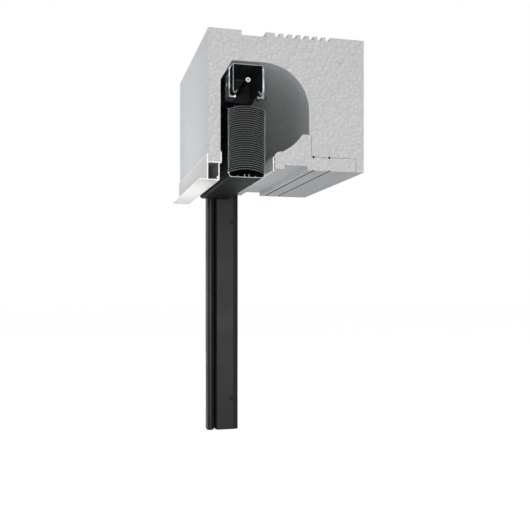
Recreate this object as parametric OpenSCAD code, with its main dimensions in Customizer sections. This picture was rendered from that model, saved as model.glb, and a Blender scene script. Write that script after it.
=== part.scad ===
// External venetian blind in an insulated top box, cut square across near its drive side.
// X runs along the window, Y from outdoors (-) to indoors (+), Z up.
// Origin: middle of the length, on the box's underside where the window frame seats.
// Section sizes are given as distance in from the box's outer face and height over its underside.

/* [Insulated box] */
// Length of the box along the window
box_len = 424; // [380:1:900]
// Depth of the box, outdoors to indoors
box_depth = 340; // [336:1:420]
// Height of the box
box_height = 285; // [276:1:340]
// Thickness of the wall on the outdoor side
outer_wall = 25.4; // [20:0.2:32]
// Inside width of the cavity
cavity_w = 191.3; // [186:0.5:194]
// Thickness over the cavity
roof_wall = 63.5; // [52:0.5:70]
// Radius of the cavity's rounded indoor top corner
corner_r = 98; // [80:1:105]
// Width of the sloping outdoor top corner
slope_w = 24.8; // [16:0.2:25]
// Height of the sloping outdoor top corner
slope_h = 42.3; // [36:0.5:60]
// Height at which the outdoor wall ends over the underside
wall_foot = 10.4; // [8:0.2:14]
// Thickness of the closing plate at the far end
end_plate_t = 10; // [6:0.5:16]

/* [Top of the box] */
// Distance of the top notch from the outer face
notch_y = 70; // [50:1:80]
// Width of the top notch
notch_w = 52; // [30:1:60]
// Depth of the top notch
notch_d = 10; // [4:0.5:14]
// Start of the key grooves from the outer face
key_y = 141.6; // [136:0.2:146]
// Distance between key grooves
key_pitch = 18.65; // [16:0.05:20]
// Width of a key groove
key_w = 9.9; // [6:0.1:12]
// Depth of the key grooves
key_d = 7.5; // [4:0.5:12]
// Number of key grooves
key_count = 7; // [3:1:8]

/* [Window insert] */
// Distance of the insert's outdoor face from the box's outer face
insert_y = 142; // [141.5:0.5:146]
// Height of the insert's ledge
ledge_z = 75.3; // [70:0.5:84]
// Start of the ledge from the outer face
ledge_y = 202.1; // [198:0.5:206]
// Radius of the insert's hollow face
cove_r = 106; // [98:1:120]
// Distance of the hollow's centre outdoors of the ledge
cove_run = 88.6; // [80:0.5:92]
// Height of the hollow's lower end
cove_foot = 38; // [35:0.5:42]
// Depth of the step behind the cavity's indoor wall, where insert and box join
joint_step = 4.5; // [3:0.5:8]
// Thickness of the insert's indoor plate
insert_plate = 28.7; // [24:0.5:34]
// Width of the indoor plate
insert_plate_w = 100.8; // [80:1:110]
// Width of the recess for the frame's spacer
spacer_w = 50.7; // [40:0.5:54]
// Depth of the recess for the frame's spacer
spacer_d = 9.2; // [5:0.2:14]
// Distance of the spacer recess behind the insert's face
spacer_in = 20; // [16:0.5:24]
// Diameter of the key holes in the joint
key_hole_d = 5.2; // [2:0.2:6]
// Width of the joint between insert and box
insert_gap = 0.6; // [0.3:0.1:1]

/* [Plaster rail and frame adapter] */
// Wall of the plaster rail
rail_t = 2.2; // [1.6:0.1:2.8]
// How far the plaster rail hangs below the box
rail_drop = 27.5; // [22:0.5:34]
// How far its outer leg stands up the outer face
rail_leg = 26.4; // [18:0.5:36]
// How far its flange stands outdoors of the outer face
rail_flange = 19.3; // [12:0.5:26]
// Height of the clip on the cavity side
rail_clip = 21.8; // [16:0.5:28]
// Wall of the frame adapter strip
adapter_t = 2.2; // [1.6:0.1:2.6]
// Height of the adapter strip over the underside
adapter_h = 27; // [24:0.5:29]
// Length of the adapter's tongue in the insert
adapter_tongue = 8; // [5:0.5:12]

/* [Head rail] */
// Distance of the head rail's centre from the outer face
head_y = 83.6; // [82.5:0.1:84.5]
// Width of the head rail
head_w = 64.1; // [63:0.1:65]
// Height of the head rail
head_h = 61.3; // [60.5:0.1:64]
// Sheet thickness of the head rail
head_t = 1.2; // [0.8:0.1:1.4]
// Clear height over the head rail
head_gap = 6.5; // [6.2:0.1:8]
// Room between the blind's far end and the box's far end
end_room = 67; // [66:1:72]

/* [Carrier brackets] */
// Length of a bracket along the rail
bracket_len = 40; // [30:1:44]
// Plate thickness of a bracket
bracket_t = 3; // [2:0.1:3.1]
// Side clearance between bracket and head rail
bracket_gap = 2.5; // [2:0.1:2.8]
// How far a bracket's outdoor leg stands out beyond its indoor leg
bracket_lean = 1; // [0:0.5:12]
// Set-back of the near bracket from the cut end
bracket_near_s = 12; // [8:1:30]
// Distance of the far bracket's near edge from the blind's far end
bracket_far_back = 49; // [47:1:51]

/* [Drive] */
// Diameter of the drive shaft
shaft_d = 11; // [10:0.1:12]
// Bore of the drive shaft
shaft_bore = 3.6; // [2:0.1:6]
// Height of the shaft's axis over the head rail's lowest edge
shaft_up = 29.3; // [29:0.1:30]
// Diameter of the turned end that takes the coupling
journal_d = 10; // [9.2:0.1:10.2]
// Length of that turned end
journal_len = 60; // [40:1:90]
// Set-back of the near winder
winder_near_s = 130; // [120:1:140]
// Distance of the far winder from the blind's far end
winder_far_back = 77; // [75:1:81]
// Length of a winder housing
winder_len = 44; // [42:1:46]
// Flange radius of the tape drum
drum_r = 18.5; // [18.2:0.1:18.8]
// Radius over the wound tape
wound_r = 14; // [12:0.5:16]
// Running clearance on the shaft, radial
run_fit = 0.08; // [0.05:0.01:0.1]

/* [Slats] */
// Width of a slat
slat_w = 80; // [79:0.2:81]
// Crown of a slat over its beads
slat_rise = 8.8; // [8:0.1:9.6]
// Sheet thickness of a slat
slat_t = 0.42; // [0.3:0.02:0.5]
// Radius of the rolled edge bead
bead_r = 1.4; // [1.1:0.05:1.6]
// Height taken by each slat in the stack
slat_pitch = 4.64; // [4.56:0.02:4.7]
// Number of slats
slat_count = 28; // [26:1:28]
// Distance of the slats' centre from the outer face
slat_y = 80.8; // [80.4:0.1:81.2]
// Clear height from the head rail to the top slat
stack_gap = 25.4; // [25:0.2:27]
// Length of a tape slot across the slat
slot_len = 18; // [16:0.5:20]
// Width of a tape slot along the slat
slot_w = 10; // [9:0.2:12]

/* [Guide pins] */
// Diameter of a pin in the guide rail
pin_d = 4; // [3.6:0.1:4.2]
// Diameter of its shank in the slat clip
shank_d = 2.4; // [2:0.1:2.5]
// Depth of the pin's axis under the slat's crown
pin_drop = 2.1; // [2.05:0.01:2.15]
// Height of the clip under the crown
clip_h = 3.9; // [3.8:0.02:4]
// Width of the clip
clip_w = 10; // [7:0.5:12]
// Length of the clip along the slat
clip_len = 18; // [12:1:24]
// Reach of a pin past the slat's end
pin_reach = 26; // [22:1:28]

/* [Bottom rail] */
// Height of the bottom rail's tray
bottom_h = 11; // [10:0.1:12]
// Clear height between the last slat's beads and the tray
bottom_gap = 2; // [1.6:0.1:3]
// Sheet of the strip that closes the tray
cover_t = 0.5; // [0.4:0.05:0.7]
// Wall of the bottom rail
bottom_t = 1.3; // [1:0.1:1.6]
// Width of its flat underside
bottom_flat = 66; // [62:0.5:68]
// Distance of the screw channel's ribs from the middle
rib_in = 4.8; // [4.4:0.1:6]
// Distance of the small ribs from the middle
rib_out = 19; // [14:0.5:24]

/* [Guide rail] */
// Gap between the slats' ends and the guide rail
guide_gap = 8; // [7:1:11]
// Depth of the guide rail along the window
guide_d = 33; // [32:0.5:36]
// Distance of its outdoor side from the slats' centre
guide_front = 18.3; // [17:0.1:20]
// Width of the groove
groove_w = 11.8; // [11:0.1:12.6]
// Depth of the groove
groove_d = 26; // [25:0.5:27]
// Radius of the guide rail's rounded outdoor edge
lip_round = 7; // [4:0.5:8]
// Wall of the guide rail
guide_t = 1.8; // [1.4:0.1:2.2]
// Clear width in the groove's lining
lining_gap = 5.4; // [5:0.1:6]
// Length of the guide rail below the box
guide_drop = 608; // [600:1:900]
// Distance between its two fixing holes
fixing_pitch = 453; // [300:1:500]
// Depth of the upper fixing hole below the box
fixing_z = 77; // [60:1:100]
// Diameter of a fixing hole
fixing_d = 5.2; // [4:0.2:6]
// Diameter of a cover plug
plug_d = 9; // [8:0.5:12]

/* [Tapes and ladders] */
// Width of a lifting tape
tape_w = 8; // [6:0.5:8.5]
// Thickness of a lifting tape
tape_t = 0.4; // [0.3:0.05:0.6]
// Diameter of a ladder cord
cord_d = 1.8; // [1.2:0.1:2]

/* [Hidden] */
$fn = 48;

seat_y = insert_y + 10;
x_near = box_len / 2;
blind_len = box_len - end_room;
bracket_far_s = blind_len - bracket_far_back;
winder_far_s = blind_len - winder_far_back;
guide_s = blind_len + guide_gap;
joint_gap = 0.3;
cut_over = 1;
cavity_right = outer_wall + cavity_w;
ceiling_z = box_height - roof_wall;
joint_y = cavity_right + joint_step;
plate_end = joint_y + insert_plate_w;
cove_y = ledge_y - cove_run;
cove_z = ledge_z + sqrt(cove_r * cove_r - cove_run * cove_run);
key_hole_in = 5;
key_hole_step = 35.5;
key_hole_y = [joint_y + key_hole_in, joint_y + key_hole_in + key_hole_step];
vee = 2.4;
nose_w = 16.6;
nick_w = 2.4;
nick_d = 3;
nick_y = insert_y + nose_w - 0.6;

head_top = ceiling_z - head_gap;
head_foot = head_top - head_h;
lip_out = 5.1;
lip_drop = 3.8;
lip_in = 4.9;
lip_rise = 6.9;
bend_r = 3;

bracket_half = head_w / 2 + bracket_gap + bracket_t;
bracket_top = head_top + 0.3 + bracket_t;
foot_z = head_foot - 5.4;
foot_t = 2.5;
foot_in = lip_out + lip_in / 2 + bracket_gap + bracket_t + 1.2;
anchor_t = 2.6;
anchor_side = 34;
sleeve_r = 6;
sleeve_len = 40;
screw_r = 3;
clamp_screw_r = 2.5;
clamp_up = 3.2;
clamp_in = 6;
clamp_len = 5.6;
bracket_hole_r = 5;

shaft_z = head_foot + shaft_up;
cap_t = 2.4;
cap_plug = 8;
cap_wall = 2;
cap_boss = 14;
cap_boss_r = 9;
shaft_end_s = blind_len - 4;
housing_half = head_w / 2 - head_t - 1.2;
housing_foot = head_foot + lip_rise + 0.3;
housing_top = head_top - head_t - 0.4;
housing_wall = 4;
lid_t = 2.4;
pocket_half = drum_r + 4;
pocket_foot = housing_foot + 2.2;
drum_len = 15;
roller_len = 12;
flange_t = 1.4;
hub_r = 8;
cord_reach = 17.65;

slat_half = slat_w / 2 - bead_r;
slat_r = (slat_half * slat_half + slat_rise * slat_rise) / (2 * slat_rise);
slat_turn = asin(slat_half / slat_r);
bead_wall = 0.45;
crown_top = head_foot - stack_gap;
spread_count = 7;
stacked_count = slat_count - spread_count;
stack_low = crown_top - (slat_count - 1) * slat_pitch;
clip_back = 2;
pin_collar = 1.5;
ring_r = shank_d / 2 + 0.35;
cap_block = 12;
tape_clip_len = 18;

rail_bead_r = 1.5;
rail_top = stack_low - slat_rise - bead_r - bottom_gap;
cover_top = stack_low - slat_pitch;
rail_foot = rail_top - bottom_h;
bottom_pin_z = rail_foot + bottom_h / 2;
rib_t = 1.2;
rib_h = 5.2;
bump_h = 1.6;

guide_y0 = slat_y - guide_front;
guide_y1 = insert_y - joint_gap;
guide_top = crown_top + 6.3;
groove_y0 = slat_y - groove_w / 2;
groove_y1 = slat_y + groove_w / 2;
web_y = groove_y1 + 6;
web_d = 24;
band_y = guide_y1 - 13;
band_slope = 5;
mouth_round = 3.5;
fixing_in = 17;
fixing_y = guide_y1 - fixing_in;
funnel_h = 11;

winders = [winder_near_s, winder_far_s];
function drum_s(s) = s - winder_len / 2 + housing_wall + 1 + drum_len / 2;
function roller_s(s) = s + winder_len / 2 - housing_wall - 1 - roller_len / 2;
turn_shift = 1.1;
cord_side = slat_w / 2 + cord_d;
cord_turn_z = crown_top - slat_rise + 2.6;
cord_join_z = crown_top + 3.3;

box_grey = "gainsboro";
dark_metal = "dimgray";
bare_metal = "silver";
black_plastic = "black";

// Extrudes a section along X between two set-backs from the cut end
module run(s0, s1) {
    translate([x_near - s1, -seat_y, 0])
        rotate([90, 0, 90])
            linear_extrude(s1 - s0)
                children();
}

// Places solids at a set-back, a distance in from the outer face and a height
module at(s, y, z) {
    translate([x_near - s, y - seat_y, z]) children();
}

// Cylinder along X, centred on its length
module rod(r, len) {
    rotate([0, 90, 0]) cylinder(r = r, h = len, center = true);
}

// Cylinder along Y, centred on its length
module cross_rod(r, len) {
    rotate([90, 0, 0]) cylinder(r = r, h = len, center = true);
}

// Cavity section down to a given height, drawn in by a clearance
module cavity_section(c, z_low) {
    left = outer_wall + c;
    right = cavity_right - c;
    top = ceiling_z - c;
    difference() {
        polygon([
            [left, z_low],
            [left, top - slope_h],
            [left + slope_w, top],
            [right, top],
            [right, z_low]
        ]);
        difference() {
            translate([right - corner_r, top - corner_r]) square(corner_r + cut_over);
            translate([right - corner_r, top - corner_r]) circle(r = corner_r, $fn = 96);
        }
    }
}

// Window insert's section, grown by a clearance where the box meets it
module insert_section(c) {
    difference() {
        polygon([
            [insert_y + nose_w - 1.6, -c],
            [insert_y + nose_w - 1.6, ledge_z + c],
            [joint_y + c, ledge_z + c],
            [joint_y + c, insert_plate + c],
            [plate_end + c, insert_plate + c],
            [plate_end + c, -c]
        ]);
        translate([cove_y, cove_z]) circle(r = cove_r - c, $fn = 96);
    }
    polygon([
        [insert_y - c, -c],
        [insert_y - c, cove_foot - 8.2],
        [insert_y - c + 3.4, cove_foot - 3.3 + c],
        [insert_y + nose_w - 2.4, cove_foot + c],
        [insert_y + nose_w - 1.2, cove_foot - 1.9 + c],
        [insert_y + nose_w, cove_foot - 3],
        [insert_y + nose_w, -c]
    ]);
}

module key_holes_section() {
    for (y = key_hole_y) {
        translate([y, insert_plate]) circle(d = key_hole_d);
        polygon([[y - vee, -cut_over], [y - vee, 0], [y, vee], [y + vee, 0], [y + vee, -cut_over]]);
    }
}

module anchor_bores(extra) {
    for (s = [bracket_near_s, bracket_far_s])
        at(s + bracket_len / 2, head_y, ceiling_z - cut_over)
            cylinder(r = sleeve_r + extra, h = sleeve_len + cut_over + extra);
}

module insulated_box() {
    color(box_grey)
    difference() {
        run(0, box_len)
        difference() {
            polygon([[0, 0], [0, box_height], [box_depth, box_height], [box_depth, 0]]);
            cavity_section(0, -cut_over);
            translate([-cut_over, -cut_over])
                square([outer_wall + 2 * cut_over, wall_foot + cut_over]);
            translate([notch_y, box_height - notch_d]) square([notch_w, notch_d + cut_over]);
            for (k = [0 : key_count - 1])
                translate([key_y + k * key_pitch, box_height - key_d])
                    square([key_w, key_d + cut_over]);
            insert_section(insert_gap);
            translate([cavity_right - cut_over, -cut_over])
                square([joint_step + cut_over + insert_gap, ledge_z + cut_over + insert_gap]);
            key_holes_section();
        }
        anchor_bores(0.2);
    }
}

module window_insert() {
    color(box_grey)
    run(0, box_len)
    difference() {
        insert_section(0);
        translate([insert_y + spacer_in, -cut_over]) square([spacer_w, spacer_d + cut_over]);
        translate([insert_y - cut_over, adapter_h - 11 - adapter_t])
            square([adapter_tongue + cut_over + 0.3, adapter_t + 0.6]);
        polygon([
            [nick_y - nick_w, cove_foot + 2], [nick_y, cove_foot - nick_d], [nick_y + nick_w, cove_foot + 2]
        ]);
        key_holes_section();
    }
}

module plaster_rail() {
    color("white")
    run(0, box_len) {
        translate([-joint_gap - rail_t, -rail_drop]) square([rail_t, rail_drop + rail_leg]);
        translate([-joint_gap - rail_t / 2, wall_foot - joint_gap - rail_t])
            square([outer_wall + rail_t + 2 * joint_gap, rail_t]);
        translate([outer_wall - 2 - rail_t, -rail_drop]) square([rail_t, rail_drop + wall_foot - joint_gap]);
        translate([-rail_flange, -rail_drop]) square([rail_flange + outer_wall - 2, rail_t * 0.8]);
        clip_y = outer_wall + joint_gap;
        polygon([
            [clip_y, wall_foot - joint_gap - rail_t + 0.5],
            [clip_y, wall_foot + rail_clip],
            [clip_y + rail_t * 0.4, wall_foot + rail_clip],
            [clip_y + rail_t, wall_foot + rail_clip - 3],
            [clip_y + rail_t, wall_foot - joint_gap - rail_t + 0.5]
        ]);
    }
    color("white")
    run(0, box_len) {
        translate([outer_wall - 2 - rail_t - 1.6, 5.5 - rail_drop]) circle(r = 2);
        translate([outer_wall - 2 - rail_t - 1.6, 1 - rail_drop]) square([3, 4.5]);
    }
}

module frame_adapter() {
    face = insert_y - 4.8;
    tongue_z = adapter_h - 11 - adapter_t + 0.3;
    color("white")
    run(0, guide_s - 2) {
        translate([face, -3]) square([adapter_t, adapter_h]);
        translate([face, -3]) square([4.6, 1.6]);
        translate([face, tongue_z]) square([4.8 + adapter_tongue, adapter_t * 0.75]);
        polygon([
            [face, adapter_h - 3 - adapter_t],
            [insert_y - 0.2, adapter_h - 0.2],
            [insert_y - 0.2, adapter_h + 1],
            [face, adapter_h - 3]
        ]);
    }
}

module end_plate() {
    color(box_grey)
    run(box_len - 2 - end_plate_t, box_len - 2)
    difference() {
        cavity_section(joint_gap, 0);
        insert_section(joint_gap);
        translate([ledge_y - 3.4, -cut_over])
            square([cavity_right - ledge_y + 5.4, ledge_z + cut_over + joint_gap]);
        translate([outer_wall - cut_over, -cut_over])
            square([cut_over + joint_gap + rail_t + 0.3, wall_foot + rail_clip + cut_over + 0.3]);
    }
}

// Points of a bend from the outdoor side to the top, about the rail's centre
function bend_points(r, wall) = [
    for (a = [180 : -18 : 90])
        [-head_w / 2 + bend_r + (r - wall) * cos(a), head_h - bend_r + (r - wall) * sin(a)]
];

// Outdoor half of the rail's sheet, from its hooked lip up to the top
half_sheet = concat(
    [[-head_w / 2 + lip_out + lip_in, lip_rise - head_t * 0.5], [-head_w / 2 + lip_out, 0],
        [-head_w / 2, lip_drop]],
    bend_points(bend_r, 0)
);
half_sheet_back = concat(
    [[-head_w / 2 + lip_out + lip_in - head_t * 0.9, lip_rise], [-head_w / 2 + lip_out, head_t * 1.5],
        [-head_w / 2 + head_t, lip_drop + 0.6]],
    bend_points(bend_r, head_t)
);

function flipped(points) = [for (k = [len(points) - 1 : -1 : 0]) [-points[k].x, points[k].y]];
function reversed(points) = [for (k = [len(points) - 1 : -1 : 0]) points[k]];

module head_section() {
    outer = concat(half_sheet, flipped(half_sheet));
    inner = concat(half_sheet_back, flipped(half_sheet_back));
    translate([head_y, head_foot]) polygon(concat(outer, reversed(inner)));
}

module head_rail() {
    color(dark_metal)
    difference() {
        run(0, blind_len) head_section();
        for (s = [bracket_near_s, bracket_far_s])
            at(s + bracket_len / 2, head_y, head_top - head_t - cut_over)
                cylinder(r = 4, h = head_t + 2 * cut_over);
    }
}

module head_rail_end_cap() {
    color(black_plastic)
    difference() {
        union() {
            run(blind_len, blind_len + cap_t)
            translate([head_y - head_w / 2, head_foot]) {
                translate([0, lip_drop]) square([head_w, head_h - lip_drop - bend_r]);
                translate([bend_r, head_h - bend_r]) square([head_w - 2 * bend_r, bend_r]);
                translate([bend_r, head_h - bend_r]) circle(r = bend_r);
                translate([head_w - bend_r, head_h - bend_r]) circle(r = bend_r);
            }
            run(blind_len - cap_plug, blind_len + cap_t / 2)
            difference() {
                translate([head_y - housing_half, housing_foot])
                    square([2 * housing_half, housing_top - housing_foot]);
                translate([head_y - housing_half + cap_wall, housing_foot + cap_wall])
                    square([2 * (housing_half - cap_wall), housing_top - housing_foot - 2 * cap_wall]);
            }
            at(blind_len + cap_t / 2 - cap_boss / 2, head_y, shaft_z) rod(cap_boss_r, cap_boss);
        }
        at(blind_len - cap_boss, head_y, shaft_z) rod(shaft_d / 2 + run_fit, 2 * cap_boss);
    }
}

// Stirrup bracket: top plate, indoor leg, leaning outdoor leg, and feet under the head rail
module bracket(s0) {
    half = bracket_half;
    in_half = half - bracket_t;
    lean_half = half + bracket_lean;
    lean_t = bracket_t * 0.8;
    knee_z = bracket_top - 2 * (bracket_lean + 4.5);
    color(bare_metal)
    difference() {
        run(s0, s0 + bracket_len)
        translate([head_y, 0])
        polygon([
            [-lean_half, foot_z], [-lean_half, knee_z], [-half + 4.5, bracket_top],
            [half - 4.5, bracket_top], [half, bracket_top - 9.8], [half, foot_z],
            [half - foot_in, foot_z], [half - foot_in, foot_z + 5.2], [half - foot_in + 1.8, foot_z + 5.2],
            [half - foot_in + 3, foot_z + foot_t], [in_half - 5.5, foot_z + foot_t],
            [in_half, foot_z + foot_t + 9], [in_half, bracket_top - bracket_t * 3],
            [in_half - 3.4, bracket_top - bracket_t],
            [-half + 4.5 + lean_t - bracket_t * 0.3, bracket_top - bracket_t],
            [-lean_half + lean_t, knee_z - lean_t / 2],
            [-lean_half + lean_t, foot_z + foot_t + 4], [-lean_half + lean_t + 4, foot_z + foot_t],
            [-half + foot_in - 3, foot_z + foot_t], [-half + foot_in - 1.8, foot_z + 5.2],
            [-half + foot_in, foot_z + 5.2], [-half + foot_in, foot_z]
        ]);
        at(s0 + bracket_len / 2, head_y, bracket_top - bracket_t / 2)
            cylinder(r = screw_r + 0.2, h = bracket_t + 2 * cut_over, center = true);
        at(s0 + bracket_len / 2, head_y, bracket_top - bracket_t - cut_over * 2)
            cylinder(r = 2 * screw_r + 0.2, h = bracket_t * 0.5 + 2 * cut_over);
        at(s0 + bracket_len / 2, head_y + half - bracket_t / 2, shaft_z)
            cross_rod(bracket_hole_r, bracket_t + cut_over);
        at(s0 + bracket_len / 2, head_y - lean_half + lean_t / 2, (foot_z + knee_z) / 2)
            cross_rod(bracket_hole_r, bracket_t + cut_over);
        at(s0 + clamp_in, head_y + half - bracket_t / 2, foot_z + clamp_up)
            cross_rod(clamp_screw_r * 0.6 + 0.1, bracket_t + cut_over);
    }
}

module bracket_near() {
    bracket(bracket_near_s);
}

module bracket_far() {
    bracket(bracket_far_s);
}

module bracket_screws() {
    color("dimgray")
    for (s = [bracket_near_s, bracket_far_s]) {
        at(s + bracket_len / 2, head_y, bracket_top - bracket_t)
        difference() {
            union() {
                translate([0, 0, 0.1]) cylinder(r = 2 * screw_r - 0.2, h = bracket_t * 0.5 - 0.2);
                translate([0, 0, bracket_t * 0.2]) cylinder(r = screw_r, h = sleeve_len - 5);
            }
            translate([0, 0, -cut_over]) cylinder(r = 1.8, h = cut_over + 1, $fn = 6);
        }
        at(s + clamp_in, head_y + bracket_half, foot_z + clamp_up) {
            translate([0, clamp_len / 2 + 0.2, 0]) cross_rod(clamp_screw_r, clamp_len);
            translate([0, -bracket_t / 2, 0]) cross_rod(clamp_screw_r * 0.6, bracket_t + 0.6);
        }
    }
}

module ceiling_anchors() {
    color(bare_metal)
    for (s = [bracket_near_s, bracket_far_s])
        at(s + bracket_len / 2, head_y, 0)
        difference() {
            union() {
                translate([-anchor_side / 2, -anchor_side / 2, ceiling_z - anchor_t - 0.1])
                    cube([anchor_side, anchor_side, anchor_t]);
                translate([0, 0, ceiling_z - anchor_t]) cylinder(r = sleeve_r, h = sleeve_len);
            }
            translate([0, 0, ceiling_z - anchor_t - cut_over])
                cylinder(r = screw_r + 0.1, h = sleeve_len - 2);
        }
}

// Winder housing: an open-topped moulded case on the head rail's lips
module winder_housing(s) {
    half = winder_len / 2;
    wide = housing_half;
    inner_half = half - housing_wall;
    deck = housing_top - lid_t;
    color(black_plastic)
    difference() {
        at(s, head_y, housing_foot)
            translate([-half, -wide, 0]) cube([winder_len, 2 * wide, deck - housing_foot]);
        at(s, head_y, pocket_foot)
            translate([-inner_half, -pocket_half, 0])
                cube([2 * inner_half, 2 * pocket_half, deck]);
        at(s, head_y, shaft_z) rod(shaft_d / 2 + run_fit, winder_len + 2 * cut_over);
        for (end = [-1, 1], side = [-1, 1])
            at(s + end * half, head_y + side * wide, (deck + housing_foot) / 2)
                cube([14, 8, deck - housing_foot - 12], center = true);
        at(drum_s(s), slat_y, housing_foot)
            cube([tape_w + 2, 4, 8], center = true);
        for (side = [-1, 1])
            at(roller_s(s) - turn_shift, head_y + side * cord_reach, housing_foot)
                cylinder(r = cord_d, h = 8, center = true);
    }
}

module winder_housing_near() {
    winder_housing(winder_near_s);
}

module winder_housing_far() {
    winder_housing(winder_far_s);
}

module winder_lids() {
    color("dimgray")
    for (s = winders)
        difference() {
            union() {
                at(s, head_y, housing_top - lid_t / 2 + 0.05)
                    cube([winder_len, 2 * housing_half, lid_t - 0.1], center = true);
                at(s, head_y, housing_top - lid_t - 0.9)
                    cube([winder_len - 2 * housing_wall - 0.6, 2 * pocket_half - 0.6, 2], center = true);
            }
            at(s, head_y, housing_top - lid_t - 3)
                cube([winder_len - 2 * housing_wall - 4, 2 * pocket_half - 4, 4.6], center = true);
        }
}

module drive_shaft() {
    mid = (journal_len + shaft_end_s) / 2;
    color(bare_metal)
    difference() {
        union() {
            at(journal_len / 2, head_y, shaft_z) rod(journal_d / 2, journal_len);
            at(mid, head_y, shaft_z) rod(shaft_d / 2, shaft_end_s - journal_len);
        }
        at(shaft_end_s / 2, head_y, shaft_z) rod(shaft_bore / 2, shaft_end_s + 2 * cut_over);
    }
}

// Tape drum beside the tilt roller, both on the shaft inside a housing
module tape_drum(s) {
    color("white")
    at(drum_s(s), head_y, shaft_z)
    difference() {
        union() {
            rod(hub_r, drum_len);
            for (end = [-1, 1])
                translate([end * (drum_len - flange_t) / 2, 0, 0]) rod(drum_r, flange_t);
        }
        rod(shaft_d / 2 + 0.02, drum_len + cut_over);
        for (turn = [0 : 60 : 300])
            rotate([turn, 0, 0]) translate([0, (hub_r + drum_r) / 2, 0]) rod(2.2, drum_len + cut_over);
    }
}

module tape_drum_near() {
    tape_drum(winder_near_s);
}

module tape_drum_far() {
    tape_drum(winder_far_s);
}

module wound_tape() {
    wide = drum_len - 2 * flange_t - 0.4;
    color("gray")
    for (s = winders)
        at(drum_s(s), head_y, shaft_z)
        difference() {
            rod(wound_r, min(wide, tape_w));
            rod(hub_r + 0.1, drum_len);
        }
}

// Tape from the drum's outdoor side down to the outlet over the slats' centre
module tape_leads() {
    dy = slat_y - head_y;
    dz = housing_foot + 1 - shaft_z;
    reach = sqrt(dy * dy + dz * dz);
    r = wound_r + 0.15;
    turn = atan2(dz, dy) - acos(r / reach);
    color("gray")
    for (s = winders)
        run(drum_s(s) - tape_w / 2, drum_s(s) + tape_w / 2)
            translate([head_y, shaft_z])
                rotate(turn)
                    translate([r, 0.4]) square([tape_t, sqrt(reach * reach - r * r) - 0.4]);
}

module tilt_roller(s) {
    color("white")
    at(roller_s(s), head_y, shaft_z)
    difference() {
        union() {
            rod(cord_reach - cord_d / 2 - 0.1, roller_len);
            for (end = [-1, 1])
                translate([end * (roller_len - flange_t) / 2, 0, 0]) rod(drum_r, flange_t);
        }
        rod(shaft_d / 2 + run_fit, roller_len + cut_over);
        for (turn = [30 : 60 : 330])
            rotate([turn, 0, 0]) translate([0, 11, 0]) rod(2.6, roller_len + cut_over);
    }
}

// Turn of ladder cord round a tilt roller
module ladder_turn(s) {
    color("dimgray")
    at(roller_s(s) + turn_shift, head_y, shaft_z)
        rotate([0, 90, 0])
            rotate_extrude() translate([cord_reach, 0]) circle(r = cord_d / 2, $fn = 24);
}

module ladder_turn_near() {
    ladder_turn(winder_near_s);
}

module ladder_turn_far() {
    ladder_turn(winder_far_s);
}

module tilt_roller_near() {
    tilt_roller(winder_near_s);
}

module tilt_roller_far() {
    tilt_roller(winder_far_s);
}

module lifting_tapes() {
    top = housing_foot + 1 - 0.05;
    foot = rail_foot + bottom_t + rib_h;
    color("gray")
    for (s = winders)
        at(drum_s(s), slat_y, (top + foot) / 2)
            cube([tape_w, tape_t, top - foot], center = true);
}

// One ladder cord: down from the roller, out over the top slat's edge, down beside the stack
module ladder_cord(y_top, y_side) {
    r = cord_d / 2;
    top = shaft_z;
    foot = rail_top - 2.5;
    dy = y_side - y_top;
    dz = cord_join_z - cord_turn_z;
    len = sqrt(dy * dy + dz * dz);
    translate([0, y_top - seat_y, cord_join_z]) {
        cylinder(r = r, h = top - cord_join_z);
        sphere(r = r + 0.08);
        rotate([atan2(dy, dz) + 180, 0, 0]) cylinder(r = r, h = len);
    }
    translate([0, y_side - seat_y, foot]) cylinder(r = r, h = cord_turn_z - foot);
    translate([0, y_side - seat_y, cord_turn_z]) sphere(r = r + 0.08);
}

module ladder_cords() {
    color("dimgray")
    for (s = winders, side = [-1, 1])
        translate([x_near - roller_s(s) + turn_shift, 0, 0])
            ladder_cord(head_y + side * cord_reach, slat_y + side * cord_side);
}

// Slat section about the middle of its crown
module slat_section() {
    reach = slat_r * 1.3;
    intersection() {
        translate([0, -slat_r])
        difference() {
            circle(r = slat_r + slat_t / 2, $fn = 180);
            circle(r = slat_r - slat_t / 2, $fn = 180);
        }
        polygon([
            [0, -slat_r],
            [-reach * sin(slat_turn), -slat_r + reach * cos(slat_turn)],
            [reach * sin(slat_turn), -slat_r + reach * cos(slat_turn)]
        ]);
    }
    for (side = [-1, 1])
        translate([side * slat_half, -slat_rise])
        difference() {
            circle(r = bead_r, $fn = 24);
            circle(r = bead_r - bead_wall, $fn = 24);
        }
}

module tape_slots(z, h) {
    for (s = winders)
        at(drum_s(s), slat_y, z) {
            cube([slot_w, slot_len - slot_w, h], center = true);
            for (side = [-1, 1])
                translate([0, side * (slot_len - slot_w) / 2, 0])
                    cylinder(d = slot_w, h = h, center = true);
        }
}

// Slat sheet with the riveted clip that holds its guide pin
module plain_slat(z) {
    difference() {
        union() {
            run(0, blind_len) translate([slat_y, z]) slat_section();
            run(blind_len - clip_back - clip_len, blind_len - clip_back)
            translate([slat_y, z])
            polygon([
                [-clip_w / 2, -1], [-clip_w / 2, 0], [clip_w / 2, 0], [clip_w / 2, -1],
                [clip_w / 2 - 1.5, -clip_h], [-clip_w / 2 + 1.5, -clip_h]
            ]);
        }
        at(blind_len - clip_back - clip_len / 2, slat_y, z - pin_drop)
            rod(shank_d / 2 + run_fit / 2, clip_len + 2 * cut_over);
    }
}

module slat(k) {
    z = crown_top - (k - 1) * slat_pitch;
    color("darkgray")
    difference() {
        plain_slat(z);
        tape_slots(z, 4);
    }
}

module slat_1() {
    slat(1);
}

module slat_2() {
    slat(2);
}

module slat_3() {
    slat(3);
}

module slat_4() {
    slat(4);
}

module slat_5() {
    slat(5);
}

module slat_6() {
    slat(6);
}

module slat_7() {
    slat(7);
}

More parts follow.
